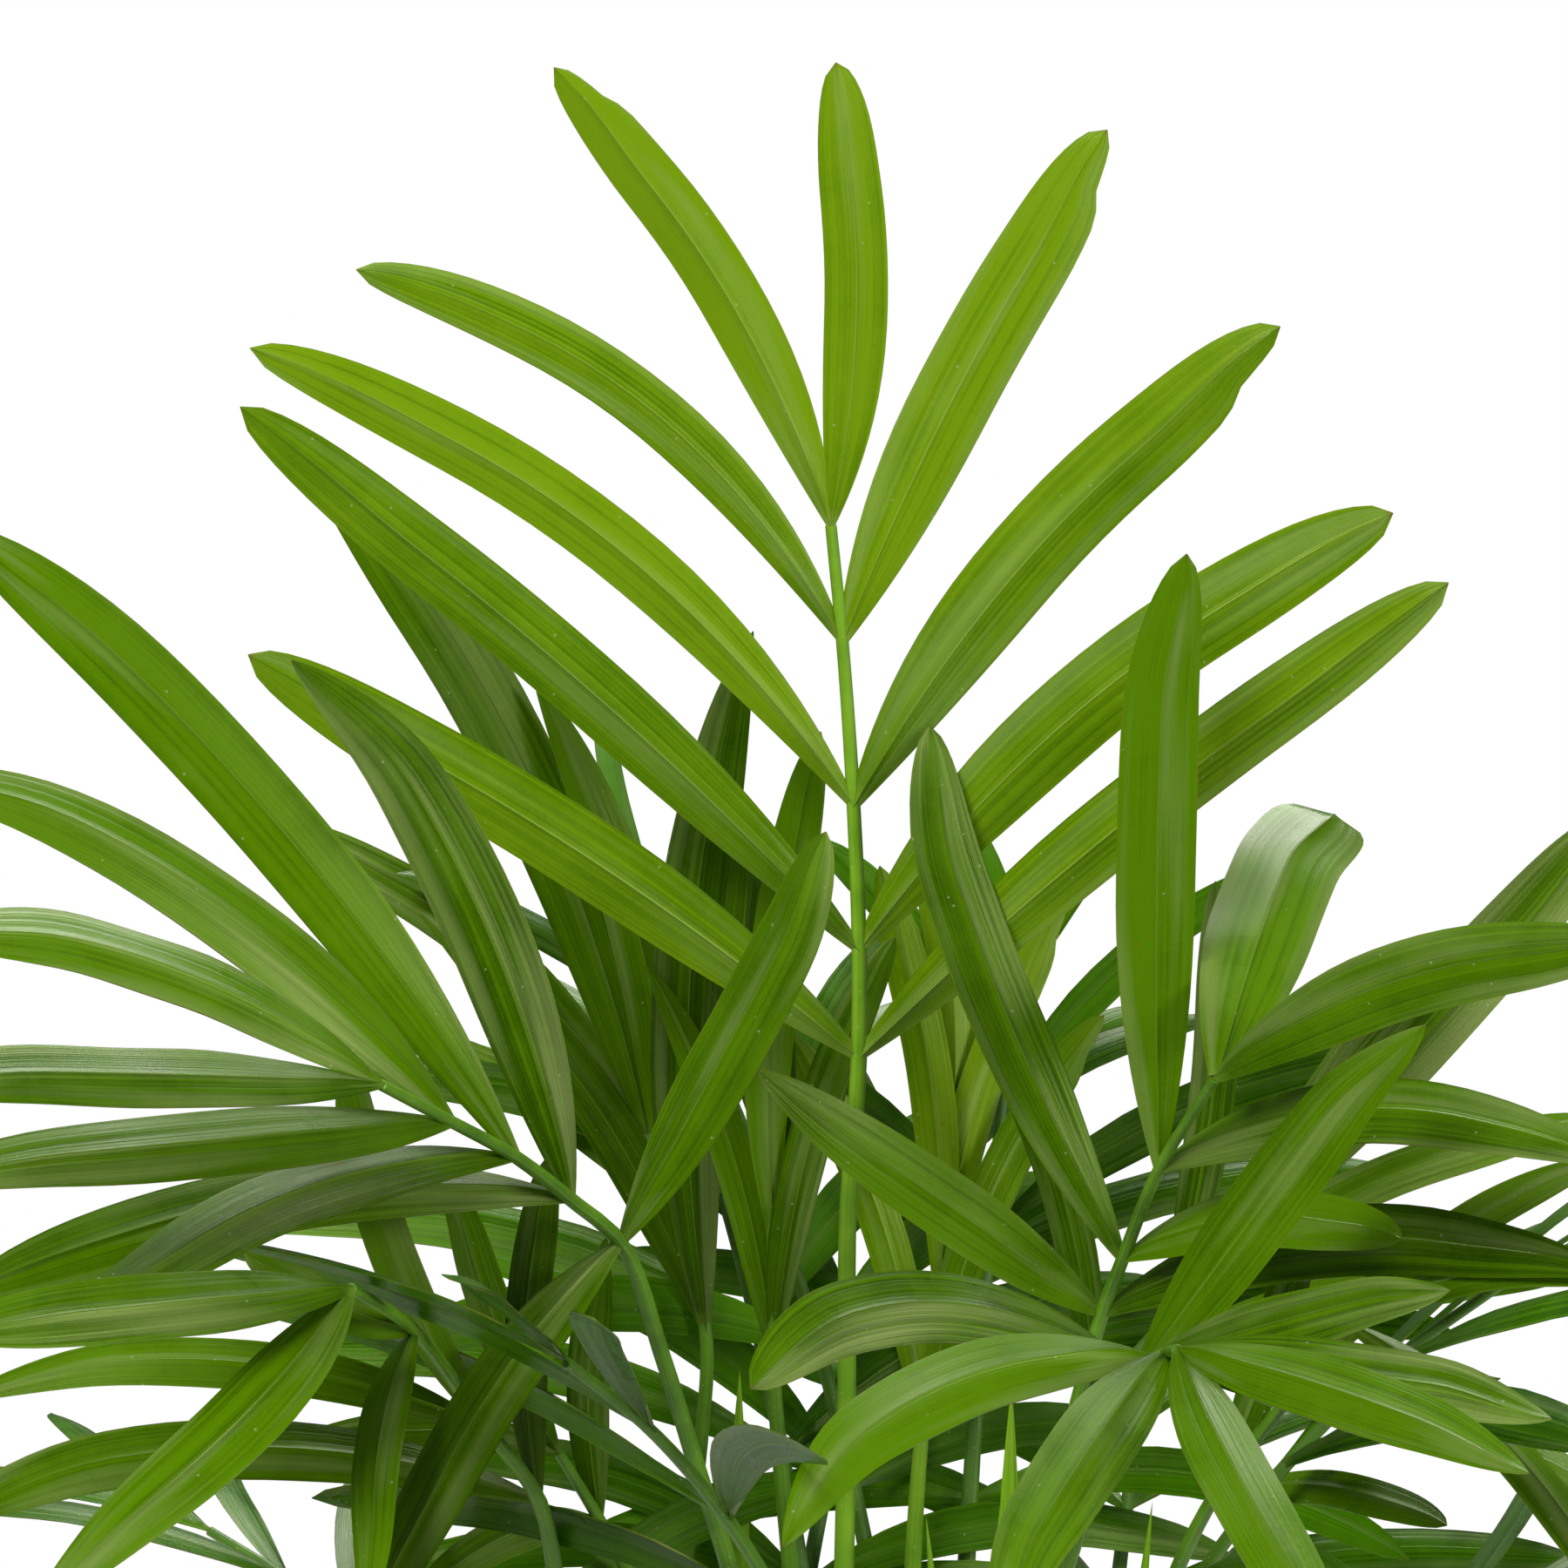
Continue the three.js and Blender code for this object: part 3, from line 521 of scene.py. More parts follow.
@dataclass(frozen=True)
class StalkFinish:
    """Green palm stalk or cane: smooth skin with long fibres and pale leaf scars."""

    name: str
    shade: str
    light: str
    scar: str
    skin: float = 0.4

    def make(self) -> bpy.types.Material:
        """Builds the material."""
        stalk = Recipe(self.name)
        wrap, _, _ = stalk.blade()
        fibres = stalk.noise(0, 4.0, 0.65, stalk.stretched(wrap, 26.0, 2.2, 1.0))
        tone = stalk.math("ADD", fibres, stalk.noise(9, 4.0, 0.5))
        colour = stalk.blend(stalk.ramp(tone, 0.72, 1.3), self.shade, self.light)
        colour = stalk.blend(stalk.attribute("scar"), colour, self.scar)
        colour = stalk.blend(stalk.dots(1.9, 0.16, 0.08, 0.3), colour, "a9b864")
        skin = stalk.body(
            Base_Color=colour, Roughness=self.skin, Normal=stalk.relief(fibres, 0.3, 0.4),
            IOR=1.45, Subsurface_Weight=0.12, Subsurface_Scale=1.2 * MM)
        return stalk.done(skin)


@dataclass(frozen=True)
class TerracottaFinish:
    """Fired earthenware, unglazed: dry and matt, with pores, grog and a chalky mineral bloom."""

    name: str = "terracotta"
    clay: str = "b4613a"
    pale: str = "cb8660"
    dark: str = "8f4526"
    chalk: str = "dcc3ae"
    pit: str = "6e3420"
    bloom: tuple[float, float] = (46 * MM, 4 * MM)  # heights where it starts and is full

    def make(self) -> bpy.types.Material:
        """Builds the material."""
        clay = Recipe(self.name)
        height = add(clay.tree, "SeparateXYZ", {0: clay.where}).outputs["Z"]
        grit = clay.noise(1.1, 3.0, 0.75)
        rings = clay.noise(2.6, 3.0, 0.6, clay.stretched(clay.where, 0.06, 0.06, 1.0))
        colour = clay.blend(clay.ramp(clay.noise(38, 5.0), 0.3, 0.72), self.clay, self.pale)
        colour = clay.blend(clay.ramp(rings, 0.5, 0.78, 0.0, 0.45), colour, self.dark)
        # minerals dry out in a wavering band above the foot and in patches elsewhere
        low = clay.ramp(height, *self.bloom, 0.0, 0.34)
        reach = clay.math("ADD", clay.noise(17, 6.0, 0.7), low)
        colour = clay.blend(clay.ramp(reach, 0.6, 0.92, 0.0, 0.62), colour, self.chalk)
        pores = clay.dots(2.3, 0.13, 0.04)
        colour = clay.blend(pores, colour, self.pit)
        relief = clay.sums(pores, -0.8, clay.sums(rings, 1.6, grit))
        body = clay.body(
            Base_Color=colour, Roughness=clay.ramp(grit, 0.0, 1.0, 0.78, 0.95),
            Normal=clay.relief(relief, 0.5, 0.42), IOR=1.5)
        return clay.done(body)


@dataclass(frozen=True)
class GrainFinish:
    """Loose natural grains, such as peat, bark or puffed perlite: matt, each a shade of its own."""

    name: str
    dark: str
    light: str
    grain: float
    rough: float = 0.92
    relief: float = 0.5

    def make(self) -> bpy.types.Material:
        """Builds the material."""
        mix = Recipe(self.name)
        grains = mix.noise(self.grain, 6.0, 0.72)
        tone = mix.ramp(mix.sums(mix.attribute("leaf"), 0.6, grains), 0.35, 1.15)
        body = mix.body(
            Base_Color=mix.blend(tone, self.dark, self.light), Roughness=self.rough,
            Normal=mix.relief(grains, 0.6, self.relief))
        return mix.done(body)


class Greens(Enum):
    """The green finishes, each as its blades' upper side and underside, and its stalk."""

    # each finish's bloom colour and share below set its painted sheen
    YOUNG = (
        LeafFinish("young_leaf", "467000", "769a0c", "a2bf50", "94c000", bloom="a6b878"),
        LeafFinish("young_leaf_under", "668c34", "86a84a", "a9c468", "9ccb24", skin=0.5),
        StalkFinish("young_stalk", "588a08", "82ae20", "8a7c4a"),
    )
    GROWN = (
        LeafFinish("grown_leaf", "2c4c00", "568000", "7c9a34", "74ac00", painted_sheen_share=0.36),
        LeafFinish("grown_leaf_under", "4a6c24", "6b8a3c", "8ca858", "7cb40c", skin=0.45),
        StalkFinish("grown_stalk", "3a6604", "669614", "8a7c4a"),
    )
    # painted shade: darker copies of the grown greens, for the fronds inside and behind the crown
    SHADED = (
        LeafFinish("shaded_leaf", "1f4600", "4e8600", "6e9034", "74b800"),
        LeafFinish("shaded_leaf_under", "41601c", "5f7f34", "829c50", "74ac08", skin=0.45),
        StalkFinish("shaded_stalk", "345c06", "5a8818", "857748"),
    )


# ---------------------------------------------------------------- moulds


@dataclass
class Mould:
    """A shape modelled once, in its own measures, and laid along a course for every copy."""

    pattern: bpy.types.Object

    def cast(
        self,
        name: str,
        course: Course,
        ply: Callable[[np.ndarray], np.ndarray] = lambda shape: shape,
        leaf: float = 0.5,
    ) -> bpy.types.Object:
        """Makes one copy, with a mesh of its own.

        Args:
            name: the copy's name.
            course: the line that it lies along.
            ply: what is done to the shape first.
            leaf: the copy's own shade, from 0 to 1.

        Returns:
            The copy.
        """
        mesh = self.pattern.data.copy()
        mesh.vertices.foreach_set("co", course.place(ply(corners_of(mesh))).ravel())
        mesh.update()
        carry(mesh, "leaf", np.full(len(mesh.vertices), leaf))
        return added(name, mesh)

    def discard(self) -> None:
        """Removes the pattern itself."""
        bpy.data.objects.remove(self.pattern)


def lay_uv(mesh: bpy.types.Mesh, wrapped: bool) -> None:
    """Gives a mould the coordinates that its finish reads.

    Args:
        mesh: the mould's mesh.
        wrapped: whether the first one goes round it, and not straight across it.
    """
    while mesh.uv_layers:
        mesh.uv_layers.remove(mesh.uv_layers[0])
    layer = mesh.uv_layers.new(name="blade")
    for face in mesh.polygons:
        turns = [math.atan2(mesh.vertices[i].co.z, mesh.vertices[i].co.x) / math.tau
                 for i in face.vertices]
        for loop, corner, turn in zip(face.loop_indices, face.vertices, turns):
            if wrapped and max(turns) - min(turns) > 0.5 and turn < 0:
                turn += 1.0
            place = mesh.vertices[corner].co
            across = turn if wrapped else (place.x + 1) / 2
            layer.data[loop].uv = (across, place.y)


def rod(sides: int, cuts: Sequence[float], ends: str = "TRIFAN") -> bpy.types.Object:
    """Models a round bar of radius 1 along +Y, from 0 to 1.

    Args:
        sides: how many sides it has.
        cuts: the shares of its length where a ring of corners runs round it.
        ends: how its ends are closed.

    Returns:
        The bar.
    """
    deselect()
    bpy.ops.mesh.primitive_cylinder_add(
        vertices=sides, radius=1, depth=1, end_fill_type=ends,
        location=(0, 0.5, 0), rotation=(math.radians(-90), 0, 0))
    obj = bpy.context.object
    bpy.ops.object.transform_apply(location=True, rotation=True, scale=False)
    bpy.ops.object.mode_set(mode="EDIT")
    for cut in cuts:
        bpy.ops.mesh.select_all(action="SELECT")
        bpy.ops.mesh.bisect(plane_co=(0, cut, 0), plane_no=(0, 1, 0))
    bpy.ops.mesh.select_all(action="SELECT")
    bpy.ops.mesh.normals_make_consistent(inside=False)
    bpy.ops.object.mode_set(mode="OBJECT")
    lay_uv(obj.data, wrapped=True)
    return obj


def move_corners(obj: bpy.types.Object, shape: np.ndarray) -> None:
    """Moves an object's corners to new places."""
    obj.data.vertices.foreach_set("co", shape.ravel())
    obj.data.update()


@dataclass
class BladeMould:
    """The pattern of one blade: a long oval sheet, folded like a low roof along its midrib."""

    rows: int = 26
    columns: Sequence[float] = (-1.0, -0.68, -0.36, -0.1, 0.0, 0.1, 0.36, 0.68, 1.0)
    base: float = 0.13  # width at the stalk, as a share of the widest
    widest: tuple[float, float] = (0.44, 0.48)  # where it stops widening and starts narrowing
    flare: float = 2.3  # how soon it widens over the stalk
    taper: float = 3.4  # how late it narrows to its tip
    bluntness: float = 0.62
    roof: float = 0.16  # height of the midrib over the margins, in half widths
    ridge: float = 0.045  # how far the midrib itself stands up
    fold: float = 2.2  # how much steeper the roof is at the stalk
    notch: float = 0.0  # how much of one side ends in a shoulder short of the tip
    crowding: float = 0.055  # how much closer together the rows are at the two ends
    thickness: float = 0.05

    def width(self, share: np.ndarray) -> np.ndarray:
        """The blade's width at shares of its length, as a share of its widest."""
        start, end = self.widest
        opening = np.clip((start - share) / start, 0.0, 1.0) ** self.flare
        closing = np.clip((share - end) / (1.0 - end), 0.0, 1.0) ** self.taper
        return (1.0 - (1.0 - self.base) * opening) * (1.0 - closing) ** self.bluntness

    def build(self) -> Mould:
        """Models the pattern."""
        deselect()
        lanes = len(self.columns) - 1
        bpy.ops.mesh.primitive_grid_add(
            x_subdivisions=lanes, y_subdivisions=self.rows, size=1, location=(0.0, 0.5, 0.0))
        bpy.ops.object.transform_apply(location=True, rotation=False, scale=False)
        obj = bpy.context.object
        flat = corners_of(obj.data)
        lane = np.rint((flat[:, 0] + 0.5) * lanes).astype(int)
        flat[:, 0] = np.array(self.columns)[lane]
        move_corners(obj, flat)
        lay_uv(obj.data, wrapped=False)
        move_corners(obj, self.shaped(flat))
        sheet = obj.modifiers.new("thickness", "SOLIDIFY")
        sheet.thickness = self.thickness
        sheet.offset = -1
        sheet.material_offset = 1
        sheet.material_offset_rim = 1
        for _ in range(2):
            obj.data.materials.append(None)
        apply_modifiers(obj)
        smoothed(obj, 50)
        return Mould(obj)

    def shaped(self, flat: np.ndarray) -> np.ndarray:
        """The sheet's corners once it is cut to the blade's outline and folded."""
        lane, share = flat[:, 0], flat[:, 1]
        along = share - self.crowding * np.sin(math.tau * share)
        whole = np.maximum(self.width(along), 0.012)
        step = self.notch * smooth(0.84, 0.9, along) * (lane > 0)
        side = np.maximum(self.width(along) * (1.0 - step), 0.012)
        lift = self.roof * (1.0 - np.abs(lane) ** 1.25) + self.ridge * (lane == 0)
        steeper = 1.0 + self.fold * (1.0 - smooth(0.0, 0.3, share))
        return np.stack([lane * side, along, lift * steeper * np.maximum(whole, 0.25)], axis=1)


@dataclass
class StalkMould:
    """The pattern of a stalk: a rod with a channel above, which clasps the cane at its foot."""

    sides: int = 12
    rings: int = 46
    foot: float = 0.1  # share of the length that clasps the cane

    def build(self) -> Mould:
        """Models the pattern."""
        obj = rod(self.sides, [ring / self.rings for ring in range(1, self.rings)])
        shape = corners_of(obj.data)
        round_x, share, round_z = shape[:, 0].copy(), shape[:, 1], shape[:, 2].copy()
        clasp = 1.0 - smooth(0.0, self.foot, share)
        bare = smooth(0.0, 0.2, share) * (1.0 - smooth(0.5, 0.8, share))
        top = np.clip(round_z, 0.0, 1.0)
        shape[:, 0] = round_x * (1.0 + 0.7 * clasp) * (1.0 - 0.22 * top)
        shape[:, 2] = 0.92 * round_z + 0.8 * clasp * round_x**2
        shape[:, 2] -= top * np.exp(-((round_x / 0.4) ** 2)) * (0.28 * bare + 0.9 * clasp)
        move_corners(obj, shape)
        smoothed(obj, 60)
        return Mould(obj)


@dataclass
class CaneMould:
    """The pattern of a cane: a rod with swollen leaf scars, closer together towards the top."""

    sides: int = 16
    scars: int = 7
    # each scar in profile: how far from its middle, in shares of the cane, and its width there
    profile: Sequence[tuple[float, float]] = (
        (-0.03, 1.0), (-0.008, 1.07), (0.0, 1.13), (0.004, 0.97), (0.009, 1.0))

    def build(self) -> Mould:
        """Models the pattern."""
        marks = [rise(0.27, 0.94, (i / (self.scars - 1)) ** 0.85) for i in range(self.scars)]
        obj = rod(self.sides, [mark + step for mark in marks for step, _ in self.profile])
        shape = corners_of(obj.data)
        scar = np.zeros(len(shape))
        for mark in marks:
            for step, wide in self.profile:
                shape[np.abs(shape[:, 1] - mark - step) < 1e-4, ::2] *= wide
            scar[np.abs(shape[:, 1] - mark - 0.002) < 0.004] = 1.0
        move_corners(obj, shape)
        carry(obj.data, "scar", scar)
        smoothed(obj, 50)
        return Mould(obj)


@dataclass
class SheathMould:
    """The pattern of a leaf sheath: an open tube round the cane, longer on the leaf's side."""

    sides: int = 18
    wall: float = 0.12
    cuts: Sequence[float] = (0.15, 0.3, 0.45, 0.6, 0.72, 0.84, 0.93)

    def build(self) -> Mould:
        """Models the pattern."""
        obj = rod(self.sides, self.cuts, "NOTHING")
        shape = corners_of(obj.data)
        share = shape[:, 1].copy()
        # it flares towards the mouth on the leaf's side, and its far lip hangs lower
        shape[:, 0] *= 1.0 + 0.22 * share
        shape[:, 2] *= 1.0 + 0.16 * share + 0.5 * share**2 * np.clip(-shape[:, 2], 0, 1)
        shape[:, 1] -= 0.3 * share**3 * np.clip(shape[:, 2], 0, 1)
        move_corners(obj, shape)
        skin = obj.modifiers.new("wall", "SOLIDIFY")
        skin.thickness = self.wall
        skin.offset = 1
        apply_modifiers(obj)
        carry(obj.data, "scar", 0.75 * smooth(0.7, 1.0, corners_of(obj.data)[:, 1]))
        smoothed(obj, 45)
        return Mould(obj)


# ---------------------------------------------------------------- canes, spears and fronds


@dataclass
class Canes:
    """The eight canes that stand in the soil."""

    mould: Mould
    finish: bpy.types.Material
    corners: int = 8  # of a ring in the frame

    def read(self, node: str) -> Course:
        """The line of one cane, from its foot in the soil to its top."""
        skeleton = Skeleton(node)
        foot = int(np.argmin(skeleton.places[:, 2]))
        rings = skeleton.rings_from(foot, self.corners)
        centres = [ring.mean(axis=0) for ring in rings]
        halves = [float(np.linalg.norm(ring - centre, axis=1).mean())
                  for ring, centre in zip(rings, centres)]
        smallest = np.minimum.accumulate(halves)
        facing = [np.array((0.0, -1.0, 0.0))] * len(rings)
        return Course.through(centres, facing, smallest)

    def build(self) -> dict[str, Course]:
        """Makes the canes and returns their courses by node name."""
        courses = {}
        for node in sorted(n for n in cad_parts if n.startswith("cane_")):
            course = self.read(node)
            courses[node] = course
            stem = self.mould.cast(f"{node}_stem", course)
            dress(stem, self.finish)
            finished(stem, "cane", node)
        return courses


@dataclass
class Spears:
    """The unopened leaves: each a blade furled round itself to a point."""

    finish: bpy.types.Material
    sides: int = 20
    rings: int = 22
    pleat: float = 0.13
    tuck: float = 7.0 * MM  # how far it reaches down into the cane's top
    slim: float = 0.86  # its half width, as a share of the frame's

    def build_mould(self) -> Mould:
        """Models the pattern: a spindle with one rolled edge and soft pleats."""
        obj = rod(self.sides, [ring / self.rings for ring in range(1, self.rings)])
        shape = corners_of(obj.data)
        share = shape[:, 1]
        turn = np.arctan2(shape[:, 2], shape[:, 0])
        reach = np.hypot(shape[:, 0], shape[:, 2])
        swell = np.sin(np.pi * np.clip(share, 0.0, 1.0) ** 0.62) ** 0.9
        swell = np.maximum(swell, 0.62 * (1.0 - smooth(0.0, 0.2, share)))
        pleated = 1.0 + self.pleat * np.cos(7 * turn) * smooth(0.1, 0.4, share)
        rolled = 1.0 + 0.22 * (((turn + 5.0 * share) / math.tau) % 1.0)
        across = reach * swell * pleated * rolled
        shape[:, 0] = across * np.cos(turn)
        shape[:, 2] = across * np.sin(turn) * 0.46
        move_corners(obj, shape)
        smoothed(obj, 50)
        return Mould(obj)

    def build(self) -> None:
        """Makes a furled leaf for each spear of the frame."""
        mould = self.build_mould()
        for node in sorted(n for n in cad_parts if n.startswith("spear_")):
            places = Skeleton(node).places
            foot = places[np.argmin(places[:, 2])]
            tip = places[np.argmax(places[:, 2])]
            along = unit(tip - foot)
            reach = places - foot
            offset = reach - np.outer(reach @ along, along)
            half = float(np.linalg.norm(offset, axis=1).max())
            widest = offset[np.argmax(np.linalg.norm(offset, axis=1))]
            facing = np.cross(widest, along)
            start = foot - along * self.tuck
            middle = (start + tip) / 2
            course = Course.through(
                [start, middle, tip], [facing] * 3, [half * self.slim] * 3)
            spear = mould.cast(f"{node}_furled", course, leaf=0.6)
            dress(spear, self.finish)
            finished(spear, "spear_leaf", node)
        mould.discard()


@dataclass
class BladeSeat:
    """Where one blade grows: its curve's three points, its facing and its half width."""

    base: np.ndarray
    control: np.ndarray
    tip: np.ndarray
    over: np.ndarray
    half: float

    # shares of the blade's length where the frame measures its two outer rings
    OUTER = 0.78
    MIDDLE = 0.5

    STEPS = 60

    @classmethod
    def read(cls, tip: np.ndarray, rings: Sequence[np.ndarray]) -> "BladeSeat":
        """Works a blade's curve out from its tip and the two rings next to it."""
        centres, overs, widths = [], [], []
        for ring in rings[:2]:
            spans = [np.linalg.norm(ring[i] - ring[i + 2]) for i in range(2)]
            side = int(np.argmax(spans))
            centre = (ring[side] + ring[side + 2]) / 2
            ridge = max((ring[1 - side], ring[(3 - side) % 4]),
                        key=lambda corner: np.linalg.norm(corner - centre))
            centres.append(centre)
            overs.append(unit(ridge - centre))
            widths.append(spans[side])
        outer, middle = centres
        # both rings lie on base (1-t)^2 + control 2t(1-t) + tip t^2
        def weights(t: float) -> tuple[float, float, float]:
            return (1 - t) ** 2, 2 * t * (1 - t), t * t

        a0, b0, c0 = weights(cls.OUTER)
        a1, b1, c1 = weights(cls.MIDDLE)
        base = ((outer - c0 * tip) * b1 - (middle - c1 * tip) * b0) / (a0 * b1 - a1 * b0)
        control = (middle - a1 * base - c1 * tip) / b1
        return cls(base, control, tip, unit(overs[0] + overs[1]), widths[1] / 2)

    def course(self) -> Course:
        """The blade's course, from its stalk to its tip."""
        t = np.linspace(0.0, 1.0, self.STEPS)[:, None]
        centres = (1 - t) ** 2 * self.base + 2 * t * (1 - t) * self.control + t**2 * self.tip
        facing = np.tile(self.over, (self.STEPS, 1))
        return Course(centres, facing, np.full(self.STEPS, self.half))


@dataclass
class Frond:
    """One frond: a stalk that clasps its cane, with pairs of blades."""

    node: str
    greens: Greens
    petiole_rings: int = 6
    pair_reach: float = 1.5 * MM
    tip_half: float = 1.0 * MM
    stout: float = 1.3  # a living stalk is rounder and stouter than the frame's ridge
    foot_out: float = 2.2 * MM  # from the cane's middle to the stalk's hidden foot
    foot_drop: float = 15 * MM  # and how far that foot is under the frame's
    foot_halves: tuple[float, float] = (2.1 * MM, 2.3 * MM)  # there, and at the frame's foot

    def __post_init__(self) -> None:
        """Reads the frond's stalk and blades from the frame."""
        skeleton = Skeleton(self.node)
        ends = skeleton.pointed_ends(4)
        start, rings = max(ends, key=lambda end: len(end[1]))
        self.start = skeleton.places[start]
        self.rings = rings[: self.petiole_rings]
        self.seats = [BladeSeat.read(skeleton.places[i], near)
                      for i, near in ends if i != start]

    def pairs(self) -> list[list[BladeSeat]]:
        """The blades in pairs that share a place on the stalk, from the lowest pair up."""
        left, pairs = list(self.seats), []
        here = self.rings[-1].mean(axis=0)
        while left:
            near = min(left, key=lambda seat: np.linalg.norm(seat.base - here))
            here = near.base
            pair = [s for s in left if np.linalg.norm(s.base - here) < self.pair_reach]
            left = [s for s in left if not any(s is other for other in pair)]
            pairs.append(pair)
        return pairs

    def leaves_cane(self, cane: Course) -> tuple[float, np.ndarray, np.ndarray]:
        """Where the stalk leaves a cane: the share of it, its middle there, and the way out."""
        share = cane.nearest(self.start)
        axis = cane.at(cane.centres, share)
        outward = self.start - axis
        outward[2] = 0.0
        return share, axis, unit(outward)

    def stalk_course(self, cane: Course) -> Course:
        """The stalk's course, from inside its sheath to the last pair of blades."""
        _, axis, out = self.leaves_cane(cane)
        low = axis + out * self.foot_out - UP * self.foot_drop
        places, overs, halves = [low, self.start], [-out, -out], list(self.foot_halves)
        for ring in self.rings:
            edges = [(np.linalg.norm(ring[i] - ring[(i + 1) % 4]), i) for i in range(4)]
            _, top = min(edges)
            upper = (ring[top] + ring[(top + 1) % 4]) / 2
            lower = (ring[(top + 2) % 4] + ring[(top + 3) % 4]) / 2
            places.append(ring.mean(axis=0))
            overs.append(unit(upper - lower))
            halves.append(max(edges)[0] / 2 * self.stout)
        petiole_end = halves[-1]
        sideways = np.cross(unit(places[-1] - places[-2]), overs[-1])
        # a stalk that faces another way than its foot would twist between them
        if np.dot(overs[0], overs[2]) < 0.1:
            overs[0] = overs[1] = overs[2]
        seats = [pair[0].base for pair in self.pairs()]
        for index, seat in enumerate(seats):
            along = unit(seat - places[-1])
            places.append(seat)
            overs.append(unit(np.cross(sideways, along)))
            halves.append(rise(petiole_end, self.tip_half, (index + 1) / len(seats)))
        return Course.through(places, overs, halves)


@dataclass
class Crown:
    """All the fronds."""

    blades: dict[Greens, Sequence[Mould]]
    blunt: Mould
    stalk: Mould
    sheath: Mould
    finishes: dict[Greens, tuple[bpy.types.Material, ...]]
    sheath_finish: bpy.types.Material
    seed: int = 23
    sheath_below: float = 30 * MM  # how far the sheath reaches under the stalk's foot
    sheath_above: float = 3 * MM
    sheath_rings: int = 12
    sheath_ease: float = 1.06  # its inside, as a share of the cane's width

    BROAD = 8.0 * MM  # a blade with a greater half width has a blunt, bent-back tip

    # the newest fronds, which are the freshest green
    YOUNG = ("frond_centre", "frond_inner_right")

    def greens_of(self, node: str) -> Greens:
        """The finish of a frond: fresh for the newest, and for the hidden ones darker copies that
        paint the crown's shade.
        """
        if node in self.YOUNG:
            return Greens.YOUNG
        return Greens.SHADED if self.fills(node) else Greens.GROWN

    @staticmethod
    def fills(node: str) -> bool:
        """Whether a frond only fills the crown behind and inside the front ones."""
        return node.startswith(("frond_outer", "frond_middle", "frond_upper"))

    def build(self, canes: dict[str, Course]) -> None:
        """Makes every frond of the frame."""
        chance = random.Random(self.seed)
        for node in sorted(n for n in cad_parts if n.startswith("frond_")):
            self.grow(Frond(node, self.greens_of(node)), canes, chance)

    def grow(self, frond: Frond, canes: dict[str, Course], chance: random.Random) -> None:
        """Makes one frond and the sheath at its foot."""
        cane = min(canes.values(), key=lambda c: np.linalg.norm(
            c.at(c.centres, c.nearest(frond.start)) - frond.start))
        course = frond.stalk_course(cane)
        stalk = self.stalk.cast("stalk", course)
        dress(stalk, *self.finishes[frond.greens])
        stalk.data.polygons.foreach_set("material_index", [2] * len(stalk.data.polygons))
        parts = [stalk]
        moulds = self.blades[frond.greens]
        for pair in frond.pairs():
            for seat in pair:
                mould = chance.choice(moulds) if seat.half < self.BROAD else self.blunt
                line = seat.course()
                lean = 1.0 if line.across[-1] @ course.along[-1] > 0 else -1.0
                blade = mould.cast("blade", line, self.ply(chance, lean), chance.random())
                dress(blade, *self.finishes[frond.greens][:2])
                parts.append(blade)
        piece = joined(parts, f"{frond.node}_grown")
        finished(piece, "leaf", frond.node)
        self.clasp(frond, cane)

    @staticmethod
    def ply(chance: random.Random, lean: float) -> Callable[[np.ndarray], np.ndarray]:
        """One blade's own small twist and ripple, and the hook of its tip.

        Args:
            chance: where the draws come from.
            lean: the side that the tip hooks to, 1 or -1.

        Returns:
            What bends the blade's shape.
        """
        hook = lean * chance.uniform(0.15, 0.5)
        twist = math.radians(chance.uniform(-9, 9))
        ripple, phase = chance.uniform(0.02, 0.06), chance.uniform(0, math.tau)
        waves = chance.uniform(1.6, 2.8)
        roof = chance.uniform(0.7, 1.35)

        def shaped(shape: np.ndarray) -> np.ndarray:
            """The shape with its twist and ripple."""
            x, y, z = shape[:, 0], shape[:, 1], shape[:, 2] * roof
            x = x + hook * smooth(0.7, 1.0, y) * (1.0 - 0.4 * np.abs(x))
            turn = twist * np.sin(math.pi * np.clip(y, 0, 1) * 0.7) ** 2
            body = np.sin(math.pi * np.clip(y, 0, 1))
            lift = z + ripple * body * np.abs(x) ** 1.5 * np.sin(waves * math.tau * y + phase)
            return np.stack([x * np.cos(turn) - lift * np.sin(turn), y,
                             x * np.sin(turn) + lift * np.cos(turn)], axis=1)

        return shaped

    def clasp(self, frond: Frond, cane: Course) -> None:
        """Wraps a frond's sheath round its cane."""
        share, _, out = frond.leaves_cane(cane)
        span = np.linspace(share - self.sheath_below / cane.length,
                           share + self.sheath_above / cane.length, self.sheath_rings)
        span = np.clip(span, 0.0, 1.0)
        halves = np.interp(span, cane.shares, cane.halves) * self.sheath_ease
        facing = np.tile(-out, (self.sheath_rings, 1))
        course = Course(cane.at(cane.centres, span), facing, halves)
        sheath = self.sheath.cast(f"{frond.node}_sheath", course)
        dress(sheath, self.sheath_finish)
        finished(sheath, "leaf")


# ---------------------------------------------------------------- pot and soil


